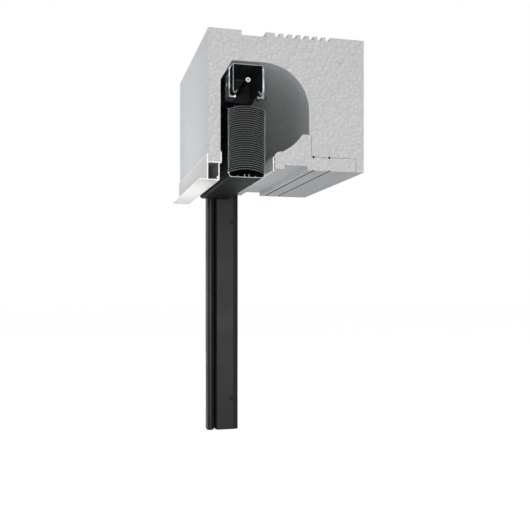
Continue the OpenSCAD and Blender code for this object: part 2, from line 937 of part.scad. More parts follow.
module stacked_slats() {
    low = stack_low - 4;
    high = crown_top - spread_count * slat_pitch + 4;
    color("darkgray")
    difference() {
        for (k = [spread_count + 1 : slat_count]) plain_slat(crown_top - (k - 1) * slat_pitch);
        tape_slots((low + high) / 2, high - low);
    }
}

// Guide pin: a shank with a retaining ring in the slat's clip, and the part that rides in the groove
module pin_at(z) {
    inner = blind_len - clip_back - clip_len;
    at(0, slat_y, z - pin_drop) {
        translate([-(inner + blind_len + pin_collar) / 2, 0, 0])
            rod(shank_d / 2, blind_len + pin_collar - inner + 1);
        translate([-(inner - 1), 0, 0]) rod(ring_r, 1);
        translate([-(blind_len + pin_collar + (pin_reach - pin_collar) / 2), 0, 0])
            rod(pin_d / 2, pin_reach - pin_collar);
    }
}

module guide_pin(k) {
    color(black_plastic) pin_at(crown_top - (k - 1) * slat_pitch);
}

module guide_pin_1() {
    guide_pin(1);
}

module guide_pin_2() {
    guide_pin(2);
}

module guide_pin_3() {
    guide_pin(3);
}

module guide_pin_4() {
    guide_pin(4);
}

module guide_pin_5() {
    guide_pin(5);
}

module guide_pin_6() {
    guide_pin(6);
}

module guide_pin_7() {
    guide_pin(7);
}

module stacked_pins() {
    color(black_plastic)
    for (k = [spread_count + 1 : slat_count]) pin_at(crown_top - (k - 1) * slat_pitch);
}

// Half of the bottom rail's tray, about the middle of its underside
module bottom_half_section() {
    side = slat_w / 2 - rail_bead_r + 0.2;
    flat = bottom_flat / 2;
    top = bottom_h - rail_bead_r;
    polygon([
        [0, 0], [flat, 0], [flat + (side - flat) * 0.7, bottom_h * 0.22], [side + bottom_t / 2, top],
        [side - bottom_t / 2, top], [flat + (side - flat) * 0.7 - bottom_t, bottom_h * 0.22 + bottom_t * 0.6],
        [flat - bottom_t * 0.5, bottom_t], [0, bottom_t]
    ]);
    translate([side, top]) circle(r = rail_bead_r);
    translate([rib_in - rib_t / 2, 0]) square([rib_t, bottom_t + rib_h]);
    translate([rib_in - rib_t / 2 - 0.6, bottom_t + rib_h - 1]) square([rib_t + 0.6, 1]);
    translate([rib_out - rib_t / 2, 0]) square([rib_t, bottom_t + bump_h]);
    translate([rib_out, bottom_t + bump_h]) circle(r = rib_t * 0.75);
}

module bottom_rail() {
    color("dimgray")
    run(0, blind_len)
    translate([slat_y, rail_foot]) {
        bottom_half_section();
        mirror([1, 0]) bottom_half_section();
    }
}

// Arched strip snapped in between the tray's beads
module bottom_rail_cover() {
    inner = slat_w / 2 - 2 * rail_bead_r - 0.4;
    drop = slat_r - sqrt(slat_r * slat_r - inner * inner);
    color("darkgray")
    difference() {
        run(0, blind_len)
        translate([slat_y, cover_top]) {
            intersection() {
                translate([0, -slat_r])
                difference() {
                    circle(r = slat_r, $fn = 180);
                    circle(r = slat_r - cover_t, $fn = 180);
                }
                polygon([[-inner, -drop - 2], [-inner, 2], [inner, 2], [inner, -drop - 2]]);
            }
            for (side = [-1, 1])
                translate([side * (inner - 0.35) - 0.35, -drop - 1.6]) square([0.7, 1.7]);
        }
        tape_slots(cover_top, 6);
    }
}

module bottom_rail_cap() {
    side = slat_w / 2;
    flat = bottom_flat / 2;
    crown = cover_top - rail_foot;
    color(black_plastic)
    difference() {
        union() {
            run(blind_len + 0.1, blind_len + 2)
            translate([slat_y, rail_foot])
            polygon([
                [-flat, 0], [flat, 0], [flat + (side - flat) * 0.7, bottom_h * 0.22], [side, bottom_h - 1],
                [side * 0.8, crown - 5.4], [side * 0.4, crown - 1.5], [0, crown - 0.3],
                [-side * 0.4, crown - 1.5], [-side * 0.8, crown - 5.4], [-side, bottom_h - 1],
                [-flat - (side - flat) * 0.7, bottom_h * 0.22]
            ]);
            for (way = [-1, 1])
                at(blind_len + 2 - cap_block / 2, slat_y + way * (rib_in + rib_out) / 2,
                        rail_foot + bottom_t + 3)
                    cube([cap_block, 8, 5.4], center = true);
        }
        at(blind_len, slat_y, bottom_pin_z) rod(pin_d / 2 + 0.02, 2 * cap_block);
    }
}

module bottom_rail_pin() {
    inner = blind_len - 14;
    outer = blind_len + pin_reach;
    color(bare_metal)
    at((inner + outer) / 2, slat_y, bottom_pin_z) rod(pin_d / 2, outer - inner);
}

module tape_clips() {
    color(black_plastic)
    for (s = winders)
        at(drum_s(s), slat_y, rail_foot + bottom_t + 0.05) {
            translate([-tape_clip_len / 2, -(rib_in - rib_t / 2 - 0.8), 0])
                cube([tape_clip_len, 2 * (rib_in - rib_t / 2 - 0.8), rib_h - 0.05]);
        }
}

module ladder_clips() {
    color(black_plastic)
    for (s = winders, side = [-1, 1])
        at(roller_s(s) - turn_shift, slat_y + side * cord_side, rail_top - 5.4)
            difference() {
                translate([-4, -1.6, 0]) cube([8, 3.2, 5]);
                translate([0, 0, 2.8]) cylinder(r = cord_d / 2 + 0.05, h = 4);
            }
}

// Guide rail section, seen from above, about the cut end and the box's outer face
module guide_section() {
    face = -guide_s;
    back = face - guide_d;
    wall = guide_t;
    difference() {
        union() {
            polygon(concat(
                [for (a = [0 : 15 : 90])
                    [face - lip_round * (1 - sin(a)), guide_y0 + lip_round * (1 - cos(a))]],
                [[face, web_y], [back, web_y], [back, guide_y0]]
            ));
            polygon([
                [face, web_y - 1], [face, band_y], [face - 1, band_y + 1], [face - band_slope, guide_y1],
                [face - web_d, guide_y1], [face - web_d, web_y - 1]
            ]);
        }
        translate([face - groove_d, groove_y0]) square([groove_d + cut_over, groove_w]);
        polygon(concat(
            [for (a = [0 : 15 : 90])
                [face - mouth_round * (1 - cos(a)), groove_y0 - mouth_round * (1 - sin(a))]],
            [[face - mouth_round, groove_y0 + 0.1], [face + cut_over, groove_y0 + 0.1],
                [face + cut_over, groove_y0 - mouth_round]]
        ));
        polygon([
            [face - lip_round * 0.8, guide_y0 + wall], [face - wall, guide_y0 + lip_round],
            [face - wall, groove_y0 - wall - mouth_round / 2], [face - wall - mouth_round / 2, groove_y0 - wall],
            [back + wall, groove_y0 - wall], [back + wall, guide_y0 + wall]
        ]);
        translate([back + wall, groove_y0])
            square([guide_d - groove_d - 2 * wall, web_y - wall - groove_y0]);
        translate([face - web_d + wall, web_y + 0.6])
            square([web_d - 2 * wall - 1, fixing_y - 8 - web_y]);
        polygon([
            [face - web_d + wall, fixing_y - 6], [face - wall - 3.6, fixing_y - 6],
            [face - wall - 3.6, band_y], [face - wall - band_slope, guide_y1 - wall],
            [face - web_d + wall, guide_y1 - wall]
        ]);
    }
}

module fixing_holes(r, x0, x1) {
    for (k = [0, 1])
        translate([x_near - guide_s - (x0 + x1) / 2, fixing_y - seat_y, -fixing_z - k * fixing_pitch])
            rod(r, x1 - x0);
}

module guide_rail() {
    color("dimgray")
    difference() {
        translate([x_near, -seat_y, -guide_drop])
            linear_extrude(guide_drop + guide_top) guide_section();
        fixing_holes(fixing_d / 2, 0, web_d + cut_over);
        fixing_holes(plug_d / 2 + 0.1, -cut_over, guide_t + 2.4);
    }
}

module groove_lining() {
    wide = groove_w / 2 - 0.15;
    inner = lining_gap / 2;
    color(black_plastic)
    translate([x_near - guide_s, slat_y - seat_y, -guide_drop + 1])
    linear_extrude(guide_drop + guide_top - 1)
    difference() {
        translate([-groove_d + 0.15, -wide]) square([groove_d - 1.4, 2 * wide]);
        translate([-groove_d + 2.2, -inner]) square([groove_d, 2 * inner]);
        for (side = [-1, 1])
            translate([-groove_d + 5, side * (wide + inner) / 2 - 0.8]) square([groove_d - 9, 1.6]);
    }
}

// Funnel that leads the pins into the groove
module guide_funnel() {
    wide = groove_w / 2 + guide_t;
    color(black_plastic)
    translate([x_near - guide_s - groove_d - 1, slat_y - seat_y, guide_top + 0.05])
    difference() {
        translate([0, -wide, 0]) cube([groove_d + 1, 2 * wide, funnel_h]);
        translate([3, 0, -cut_over])
        rotate([90, 0, 90])
        linear_extrude(groove_d + 1)
        polygon([
            [-lining_gap / 2, 0], [lining_gap / 2, 0], [lining_gap / 2, 4],
            [wide - 1.2, funnel_h + 2 * cut_over], [1.2 - wide, funnel_h + 2 * cut_over],
            [-lining_gap / 2, 4]
        ]);
    }
}

module cover_plugs() {
    color(black_plastic)
    difference() {
        fixing_holes(plug_d / 2, -0.6, guide_t);
        fixing_holes(1.2, -cut_over, 0.2);
    }
}

insulated_box();
window_insert();
plaster_rail();
frame_adapter();
end_plate();
head_rail();
head_rail_end_cap();
bracket_near();
bracket_far();
bracket_screws();
ceiling_anchors();
winder_housing_near();
winder_housing_far();
winder_lids();
drive_shaft();
tape_drum_near();
tape_drum_far();
wound_tape();
tape_leads();
tilt_roller_near();
tilt_roller_far();
ladder_turn_near();
ladder_turn_far();
lifting_tapes();
ladder_cords();
slat_1();
slat_2();
slat_3();
slat_4();
slat_5();
slat_6();
slat_7();
guide_pin_1();
guide_pin_2();
guide_pin_3();
guide_pin_4();
guide_pin_5();
guide_pin_6();
guide_pin_7();
stacked_slats();
stacked_pins();
bottom_rail();
bottom_rail_cover();
bottom_rail_cap();
bottom_rail_pin();
tape_clips();
ladder_clips();
guide_rail();
groove_lining();
guide_funnel();
cover_plugs();
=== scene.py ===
"""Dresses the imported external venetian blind: finishes, woven goods, small hardware, light and camera.

Lengths are in millimetres unless a docstring says metres. A section's sizes run back from the cut end,
inward from the box's outer face and up from its underside.
"""

import logging
import math
from dataclasses import dataclass
from enum import Enum
from typing import Any, Callable, Iterable

import bmesh
import bpy
from mathutils import Matrix, Vector


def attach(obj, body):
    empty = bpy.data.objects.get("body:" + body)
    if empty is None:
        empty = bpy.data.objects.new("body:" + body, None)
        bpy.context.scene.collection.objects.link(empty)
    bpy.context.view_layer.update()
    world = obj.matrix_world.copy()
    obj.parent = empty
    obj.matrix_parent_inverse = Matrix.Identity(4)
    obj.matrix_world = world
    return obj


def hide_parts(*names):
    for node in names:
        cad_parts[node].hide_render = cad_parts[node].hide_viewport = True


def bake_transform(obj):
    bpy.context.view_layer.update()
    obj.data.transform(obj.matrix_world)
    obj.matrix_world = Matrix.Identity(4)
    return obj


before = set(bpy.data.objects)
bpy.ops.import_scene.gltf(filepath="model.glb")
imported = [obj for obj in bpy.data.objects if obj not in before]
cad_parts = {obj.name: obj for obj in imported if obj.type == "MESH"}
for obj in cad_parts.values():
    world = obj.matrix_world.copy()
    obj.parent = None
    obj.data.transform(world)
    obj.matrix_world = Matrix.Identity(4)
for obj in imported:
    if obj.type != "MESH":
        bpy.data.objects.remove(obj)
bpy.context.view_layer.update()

LOG = logging.getLogger("blind")
MM = 0.001
# The frame's zero in from the box's outer face, the cut end's X and the box's length.
SEAT_Y = 152.0
CUT_X = 212.0
LENGTH = 424.0
# A face this close to the cut plane counts as sawn.
SAW_MM = 0.05
# Middles of the slats and of the head rail, heights of the shaft and of the top slat's crown.
SLAT_Y = 80.8
HEAD_Y = 83.6
SHAFT_Z = 183.0
CROWN_TOP = 128.3
# The slats' distance in the stack, and how many of them spread.
PITCH = 4.64
SPREAD = 7
# Near and far stations of the tapes and of the ladder cords, back from the cut end.
TAPE_BACKS = (120.5, 270.5)
CORD_BACKS = (139.9, 289.9)
# Radii of the cord, of a rung and of the cord's turn on its roller; widths and thicknesses of the tapes.
CORD_R = 0.85
RUNG_R = 0.35
ROLLER_R = 17.65
HUNG_TAPE = (8.0, 0.4)
WOUND_TAPE = (8.0, 0.34)
# Edges blunter than this are shaded smooth.
SMOOTH_DEG = 40.0
# Settings of the nodes that mix and that multiply colours.
MIX = {"data_type": "RGBA"}
TIMES = {"data_type": "RGBA", "blend_type": "MULTIPLY"}
# The part of a noise's range that its clouds fill.
CLOUDS = {"From Min": 0.3, "From Max": 0.7}

Tree = bpy.types.NodeTree
Node = bpy.types.Node
Socket = bpy.types.NodeSocket
Piece = bpy.types.Object
# A zone's limits inward and in height, and its tone.
Zone = tuple[tuple[float, float], tuple[float, float], str]


def at(back: float, inward: float, height: float) -> Vector:
    """Turns section sizes into a place in the frame.

    Args:
        back: distance back from the cut end.
        inward: distance in from the box's outer face.
        height: height over the box's underside.

    Returns:
        The place in metres.
    """
    return Vector(((CUT_X - back) * MM, (inward - SEAT_Y) * MM, height * MM))


def step(backs: tuple[float, float], drop: float = 0.0) -> Vector:
    """Gives the way from one station to another.

    Args:
        backs: both stations' distances back from the cut end.
        drop: how much lower the second one lies.

    Returns:
        The way in metres.
    """
    return Vector(((backs[0] - backs[1]) * MM, 0.0, -drop * MM))


def linear(hex_colour: str) -> tuple[float, float, float, float]:
    """Turns an sRGB hex colour into linear light.

    Args:
        hex_colour: six hex digits.

    Returns:
        Linear red, green, blue and an alpha of 1.
    """
    shares = [int(hex_colour[k : k + 2], 16) / 255 for k in (0, 2, 4)]
    values = [s / 12.92 if s <= 0.04045 else ((s + 0.055) / 1.055) ** 2.4 for s in shares]
    return (values[0], values[1], values[2], 1.0)


def add_node(
    tree: Tree, kind: str, settings: dict[Any, Any] | None = None, links: dict[Any, Socket] | None = None
) -> Node:
    """Adds a node with its settings and links.

    Args:
        tree: the node tree that gets the node.
        kind: Blender's type name of the node.
        settings: attributes of the node by name, or input values by socket name or number.
        links: output sockets by the name or number of the input they feed.

    Returns:
        The new node.
    """
    node = tree.nodes.new(kind)
    for key, value in (settings or {}).items():
        if isinstance(key, str) and hasattr(node, key):
            setattr(node, key, value)
        else:
            node.inputs[key].default_value = value
    for key, socket in (links or {}).items():
        tree.links.new(socket, node.inputs[key])
    return node


@dataclass(frozen=True)
class Finish:
    """What every finish shares: a name and a shader on Object coordinates."""

    name: str

    def shader(self, tree: Tree, place: Socket) -> Node:
        """Builds the finish's shader; each finish has its own."""
        raise NotImplementedError

    def build(self) -> bpy.types.Material:
        """Makes the material.

        Returns:
            The material with its node tree.
        """
        material = bpy.data.materials.new(self.name)
        material.use_nodes = True
        tree = material.node_tree
        tree.nodes.clear()
        coordinates = add_node(tree, "ShaderNodeTexCoord")
        shader = self.shader(tree, coordinates.outputs["Object"])
        add_node(tree, "ShaderNodeOutputMaterial", links={"Surface": shader.outputs["BSDF"]})
        return material


def cut_mask(tree: Tree, place: Socket) -> Socket:
    """Finds the sawn faces at the near end, which lie in one plane.

    Args:
        tree: the material's node tree.
        place: the Object coordinates.

    Returns:
        A socket that is 1 on the sawn faces and 0 elsewhere.
    """
    split = add_node(tree, "ShaderNodeSeparateXYZ", links={"Vector": place})
    limit = (CUT_X - SAW_MM) * MM
    return add_node(
        tree, "ShaderNodeMath", {"operation": "GREATER_THAN", 1: limit}, {0: split.outputs["X"]}
    ).outputs[0]


def inner_mask(tree: Tree, place: Socket, inward: tuple[float, float], height: tuple[float, float]) -> Socket:
    """Finds the walls of a hollow that runs back from the sawn face.

    Args:
        tree: the material's node tree.
        place: the Object coordinates.
        inward: the hollow's limits in from the box's outer face.
        height: its limits over the box's underside.

    Returns:
        A socket that is 1 inside the hollow and 0 elsewhere.
    """
    split = add_node(tree, "ShaderNodeSeparateXYZ", links={"Vector": place})
    limits = (
        ("X", "LESS_THAN", (CUT_X - SAW_MM) * MM),
        ("X", "GREATER_THAN", (CUT_X - LENGTH + SAW_MM) * MM),
        ("Y", "GREATER_THAN", (inward[0] - SEAT_Y) * MM),
        ("Y", "LESS_THAN", (inward[1] - SEAT_Y) * MM),
        ("Z", "GREATER_THAN", height[0] * MM),
        ("Z", "LESS_THAN", height[1] * MM),
    )
    tests = [
        add_node(tree, "ShaderNodeMath", {"operation": how, 1: limit}, {0: split.outputs[axis]}).outputs[0]
        for axis, how, limit in limits
    ]
    inside = tests[0]
    for test in tests[1:]:
        inside = add_node(tree, "ShaderNodeMath", {"operation": "MULTIPLY"}, {0: inside, 1: test}).outputs[0]
    return inside


def with_zones(tree: Tree, place: Socket, colour: Socket, zones: tuple[Zone, ...]) -> Socket:
    """Gives the zones of a finish tones of their own; in this script the zones are painted shade.

    Args:
        tree: the material's node tree.
        place: the Object coordinates.
        colour: the colour outside the zones.
        zones: the zones.

    Returns:
        The colour with its zones.
    """
    for inward, height, tone in zones:
        inside = inner_mask(tree, place, inward, height)
        colour = add_node(tree, "ShaderNodeMix", {**MIX, 7: linear(tone)}, {0: inside, 6: colour}).outputs[2]
    return colour


@dataclass(frozen=True)
class BeadFoam(Finish):
    """Moulded expanded polystyrene: pressed beads with fine dark seams and painted light and shade on each
    bead, matt all over.
    """

    skin: str = "d6d9dc"
    sawn: str = "c2c2c2"
    seam: str = "8e8f8f"
    bead_mm: float = 8.4
    zones: tuple[Zone, ...] = ()

    def shader(self, tree: Tree, place: Socket) -> Node:
        """Beads are uneven cells with darker seams; each bead is painted lighter on its upper outdoor side and
        darker on the other, as painted light and shade.

        Args:
            tree: the material's node tree.
            place: the Object coordinates.

        Returns:
            The shader node.
        """
        scale = 1.0 / (self.bead_mm * MM)
        stir = add_node(tree, "ShaderNodeTexNoise", {"Scale": scale * 0.7, "Detail": 1.0}, {"Vector": place})
        pushed = add_node(
            tree,
            "ShaderNodeVectorMath",
            {"operation": "MULTIPLY_ADD", 1: (0.008, 0.008, 0.008)},
            {0: stir.outputs["Color"], 2: place},
        ).outputs[0]
        cells = add_node(
            tree,
            "ShaderNodeTexVoronoi",
            {"feature": "DISTANCE_TO_EDGE", "Scale": scale, "Randomness": 1.0},
            {"Vector": pushed},
        )
        beads = add_node(
            tree,
            "ShaderNodeTexVoronoi",
            {"feature": "F1", "Scale": scale, "Randomness": 1.0},
            {"Vector": pushed},
        )
        # Painted light and shade: each bead is lighter on its upper outdoor side and darker on its lower indoor
        # side.
        offset = add_node(
            tree, "ShaderNodeVectorMath", {"operation": "SUBTRACT"}, {0: pushed, 1: beads.outputs["Position"]}
        )
        painted_bead_light = add_node(
            tree,
            "ShaderNodeVectorMath",
            {"operation": "DOT_PRODUCT", 1: (0.0, -0.6 * scale, 0.8 * scale)},
            {0: offset.outputs[0]},
        )
        drift = add_node(
            tree,
            "ShaderNodeTexNoise",
            {"Scale": scale * 2.2, "Detail": 2.0, "Roughness": 0.7},
            {"Vector": place},
        )
        cut = cut_mask(tree, place)
        base = add_node(tree, "ShaderNodeMix", {**MIX, 6: linear(self.skin), 7: linear(self.sawn)}, {0: cut})
        tinted = with_zones(tree, place, base.outputs[2], self.zones)
        seam = add_node(
            tree,
            "ShaderNodeMapRange",
            {"From Min": 0.0, "From Max": 0.2, "To Min": 0.14, "To Max": 0.0},
            {"Value": cells.outputs["Distance"]},
        )
        seamed = add_node(
            tree, "ShaderNodeMix", {**TIMES, 7: linear(self.seam)}, {0: seam.outputs["Result"], 6: tinted}
        )
        shade = add_node(
            tree,
            "ShaderNodeMapRange",
            {"From Min": -0.6, "From Max": 0.6, "To Min": 0.9, "To Max": 1.08},
            {"Value": painted_bead_light.outputs["Value"]},
        )
        # The painted bead light and shade is weaker on the moulded skin than on the sawn face.
        share = add_node(tree, "ShaderNodeMapRange", {"To Min": 0.4, "To Max": 1.0}, {"Value": cut})
        beads_with_painted_light = add_node(
            tree,
            "ShaderNodeMix",
            TIMES,
            {0: share.outputs["Result"], 6: seamed.outputs[2], 7: shade.outputs["Result"]},
        )
        wide = add_node(
            tree,
            "ShaderNodeMapRange",
            {**CLOUDS, "To Min": 0.93, "To Max": 1.05},
            {"Value": drift.outputs["Fac"]},
        )
        colour = add_node(
            tree, "ShaderNodeMix", {**TIMES, 0: 1.0}, {6: beads_with_painted_light.outputs[2], 7: wide.outputs["Result"]}
        )
        height = add_node(
            tree, "ShaderNodeMapRange", {"From Min": 0.0, "From Max": 0.3}, {"Value": cells.outputs["Distance"]}
        )
        relief = add_node(
            tree, "ShaderNodeBump", {"Strength": 0.22, "Distance": 0.0006}, {"Height": height.outputs["Result"]}
        )
        return add_node(
            tree,
            "ShaderNodeBsdfPrincipled",
            {"Roughness": 0.88, "Specular IOR Level": 0.2},
            {"Base Color": colour.outputs[2], "Normal": relief.outputs["Normal"]},
        )


@dataclass(frozen=True)
class CoatedMetal(Finish):
    """Coated aluminium sheet or extrusion, with its bare metal showing where the saw cut it."""

    coat: str
    sawn: str
    roughness: float
    grit_mm: float
    relief: float
    mirror: float = 0.45

    def shader(self, tree: Tree, place: Socket) -> Node:
        """A fine orange-peel relief breaks up the gloss; sawn edges are bright, dull metal.

        Args:
            tree: the material's node tree.
            place: the Object coordinates.

        Returns:
            The shader node.
        """
        peel = add_node(
            tree,
            "ShaderNodeTexNoise",
            {"Scale": 1.0 / (self.grit_mm * MM), "Detail": 3.0, "Roughness": 0.55},
            {"Vector": place},
        )
        drift = add_node(tree, "ShaderNodeTexNoise", {"Scale": 14.0, "Detail": 2.0}, {"Vector": place})
        cut = cut_mask(tree, place)
        worn = add_node(
            tree,
            "ShaderNodeMix",
            {**MIX, 6: linear(self.coat), 7: linear(self.paler())},
            {0: drift.outputs["Fac"]},
        )
        colour = add_node(
            tree, "ShaderNodeMix", {**MIX, 7: linear(self.sawn)}, {0: cut, 6: worn.outputs[2]}
        ).outputs[2]
        relief = add_node(
            tree,
            "ShaderNodeBump",
            {"Strength": self.relief, "Distance": 0.00008},
            {"Height": peel.outputs["Fac"]},
        )
        gloss = add_node(
            tree,
            "ShaderNodeMapRange",
            {**CLOUDS, "To Min": self.roughness - 0.05, "To Max": self.roughness + 0.06},
            {"Value": drift.outputs["Fac"]},
        )
        return add_node(
            tree,
            "ShaderNodeBsdfPrincipled",
            {"Specular IOR Level": self.mirror},
            {"Base Color": colour, "Roughness": gloss.outputs["Result"], "Normal": relief.outputs["Normal"]},
        )

    def paler(self) -> str:
        """Gives the coat's colour a few steps lighter, for its slight unevenness."""
        return "".join(f"{min(255, int(self.coat[k : k + 2], 16) + 7):02x}" for k in (0, 2, 4))


@dataclass(frozen=True)
class BareMetal(Finish):
    """Uncoated metal: drawn lines run along it and soften its reflections."""

    tone: str
    shadow: str
    roughness: float
    line_mm: float
    sawn: str = "f2f3f3"

    def shader(self, tree: Tree, place: Socket) -> Node:
        """Lines are noise stretched along the drawing direction, which is the blind's length.

        Args:
            tree: the material's node tree.
            place: the Object coordinates.

        Returns:
            The shader node.
        """
        stretched = add_node(tree, "ShaderNodeMapping", {"Scale": (0.03, 1.0, 1.0)}, {"Vector": place})
        lines = add_node(
            tree,
            "ShaderNodeTexNoise",
            {"Scale": 1.0 / (self.line_mm * MM), "Detail": 3.0},
            {"Vector": stretched.outputs["Vector"]},
        )
        drawn = add_node(
            tree,
            "ShaderNodeMix",
            {**MIX, 6: linear(self.tone), 7: linear(self.shadow)},
            {0: lines.outputs["Fac"]},
        )
        cut = cut_mask(tree, place)
        colour = add_node(
            tree, "ShaderNodeMix", {**MIX, 7: linear(self.sawn)}, {0: cut, 6: drawn.outputs[2]}
        ).outputs[2]
        metallic = add_node(tree, "ShaderNodeMapRange", {"To Min": 1.0, "To Max": 0.15}, {"Value": cut})
        gloss = add_node(
            tree,
            "ShaderNodeMapRange",
            {**CLOUDS, "To Min": self.roughness - 0.06, "To Max": self.roughness + 0.08},
            {"Value": lines.outputs["Fac"]},
        )
        relief = add_node(
            tree, "ShaderNodeBump", {"Strength": 0.2, "Distance": 0.00005}, {"Height": lines.outputs["Fac"]}
        )
        return add_node(
            tree,
            "ShaderNodeBsdfPrincipled",
            links={
                "Base Color": colour,
                "Metallic": metallic.outputs["Result"],
                "Roughness": gloss.outputs["Result"],
                "Normal": relief.outputs["Normal"],
            },
        )


@dataclass(frozen=True)
class Galvanised(Finish):
    """Hot-dip galvanised steel plate: frosty crystals, each with a brightness and gloss of its own."""

    bright: str = "eff5f7"
    dull: str = "586166"
    crystal_mm: float = 9.0
    roughness: float = 0.34

    def shader(self, tree: Tree, place: Socket) -> Node:
        """Crystals are cells with ragged edges; a finer frost breaks up each one.

        Args:
            tree: the material's node tree.
            place: the Object coordinates.

        Returns:
            The shader node.
        """
        scale = 1.0 / (self.crystal_mm * MM)
        frost = add_node(tree, "ShaderNodeTexNoise", {"Scale": scale * 4, "Detail": 3.0}, {"Vector": place})
        ragged = add_node(
            tree,
            "ShaderNodeVectorMath",
            {"operation": "MULTIPLY_ADD", 1: (0.003, 0.003, 0.003)},
            {0: frost.outputs["Color"], 2: place},
        )
        crystals = add_node(
            tree, "ShaderNodeTexVoronoi", {"feature": "F1", "Scale": scale}, {"Vector": ragged.outputs[0]}
        )
        split = add_node(tree, "ShaderNodeSeparateColor", links={"Color": crystals.outputs["Color"]})
        colour = add_node(
            tree, "ShaderNodeMix", {**MIX, 6: linear(self.dull), 7: linear(self.bright)}, {0: split.outputs[0]}
        ).outputs[2]
        gloss = add_node(
            tree,
            "ShaderNodeMapRange",
            {"To Min": self.roughness - 0.1, "To Max": self.roughness + 0.12},
            {"Value": split.outputs[1]},
        )
        relief = add_node(
            tree, "ShaderNodeBump", {"Strength": 0.15, "Distance": 0.0001}, {"Height": frost.outputs["Fac"]}
        )
        return add_node(
            tree,
            "ShaderNodeBsdfPrincipled",
            {"Metallic": 0.75},
            {"Base Color": colour, "Roughness": gloss.outputs["Result"], "Normal": relief.outputs["Normal"]},
        )


@dataclass(frozen=True)
class MouldedPlastic(Finish):
    """Injection-moulded or extruded plastic with a light spark-eroded grain."""

    tone: str
    roughness: float
    grain_mm: float
    mirror: float = 0.5
    zones: tuple[Zone, ...] = ()

    def shader(self, tree: Tree, place: Socket) -> Node:
        """A fine even grain with slight flow clouds in its gloss.

        Args:
            tree: the material's node tree.
            place: the Object coordinates.

        Returns:
            The shader node.
        """
        scale = 1.0 / (self.grain_mm * MM)
        grain = add_node(tree, "ShaderNodeTexNoise", {"Scale": scale, "Detail": 2.0}, {"Vector": place})
        flow = add_node(tree, "ShaderNodeTexNoise", {"Scale": 45.0, "Detail": 2.0}, {"Vector": place})
        shade = add_node(
            tree,
            "ShaderNodeMapRange",
            {**CLOUDS, "To Min": 0.95, "To Max": 1.05},
            {"Value": flow.outputs["Fac"]},
        )
        colour = add_node(
            tree, "ShaderNodeMix", {**TIMES, 0: 1.0, 6: linear(self.tone)}, {7: shade.outputs["Result"]}
        ).outputs[2]
        colour = with_zones(tree, place, colour, self.zones)
        gloss = add_node(
            tree,
            "ShaderNodeMapRange",
            {**CLOUDS, "To Min": self.roughness - 0.05, "To Max": self.roughness + 0.07},
            {"Value": flow.outputs["Fac"]},
        )
        relief = add_node(
            tree, "ShaderNodeBump", {"Strength": 0.18, "Distance": 0.00006}, {"Height": grain.outputs["Fac"]}
        )
        return add_node(
            tree,
            "ShaderNodeBsdfPrincipled",
            {"Specular IOR Level": self.mirror},
            {"Base Color": colour, "Roughness": gloss.outputs["Result"], "Normal": relief.outputs["Normal"]},
        )


@dataclass(frozen=True)
class WovenPolyester(Finish):
    """Woven strap or braided cord: crossing threads, dull with a faint sheen."""

    tone: str
    dark: str
    thread_mm: float

    def shader(self, tree: Tree, place: Socket) -> Node:
        """Two wave patterns cross on the piece's own UV map, which is laid out.

        Args:
            tree: the material's node tree.
            place: the Object coordinates, not used here.

        Returns:
            The shader node.
        """
        laid = add_node(tree, "ShaderNodeUVMap", {"uv_map": "UVMap"})
        scale = 1.0 / self.thread_mm
        slants = []
        for turn in (math.radians(32), math.radians(-32)):
            turned = add_node(
                tree, "ShaderNodeMapping", {"Rotation": (0.0, 0.0, turn)}, {"Vector": laid.outputs["UV"]}
            )
            slants.append(
                add_node(
                    tree,
                    "ShaderNodeTexWave",
                    {"wave_type": "BANDS", "bands_direction": "Y", "Scale": scale * 0.32, "Distortion": 0.3},
                    {"Vector": turned.outputs["Vector"]},
                ).outputs["Fac"]
            )
        weave = add_node(tree, "ShaderNodeMath", {"operation": "MAXIMUM"}, {0: slants[0], 1: slants[1]})
        colour = add_node(
            tree, "ShaderNodeMix", {**MIX, 6: linear(self.dark), 7: linear(self.tone)}, {0: weave.outputs[0]}
        ).outputs[2]
        relief = add_node(
            tree, "ShaderNodeBump", {"Strength": 0.5, "Distance": 0.00015}, {"Height": weave.outputs[0]}
        )
        return add_node(
            tree,
            "ShaderNodeBsdfPrincipled",
            {"Roughness": 0.8, "Specular IOR Level": 0.3, "Sheen Weight": 0.15},
            {"Base Color": colour, "Normal": relief.outputs["Normal"]},
        )


# Painted shade in the foam: the cavity's walls greyer, and near black in the joint round the insert and in the
# nick in its cove.
FOAM_PAINTED_SHADE_ZONES = (
    ((25.2, 216.9), (10.6, 221.7), "cccdce"),
    ((220.6, 323.4), (0.4, 74.9), "262727"),
    ((156.6, 159.4), (36.0, 40.4), "262727"),
)
# Painted shade: the plaster rail's hollow dimmer, and the face of its outer leg greyer, which leaves a white
# band at the leg's top edge as a painted highlight.
RAIL_PAINTED_SHADE_ZONES = (((-0.4, 21.3), (-25.85, 8.0), "a8a8a9"), ((-2.6, -2.4), (-27.0, 24.8), "cdcdcd"))


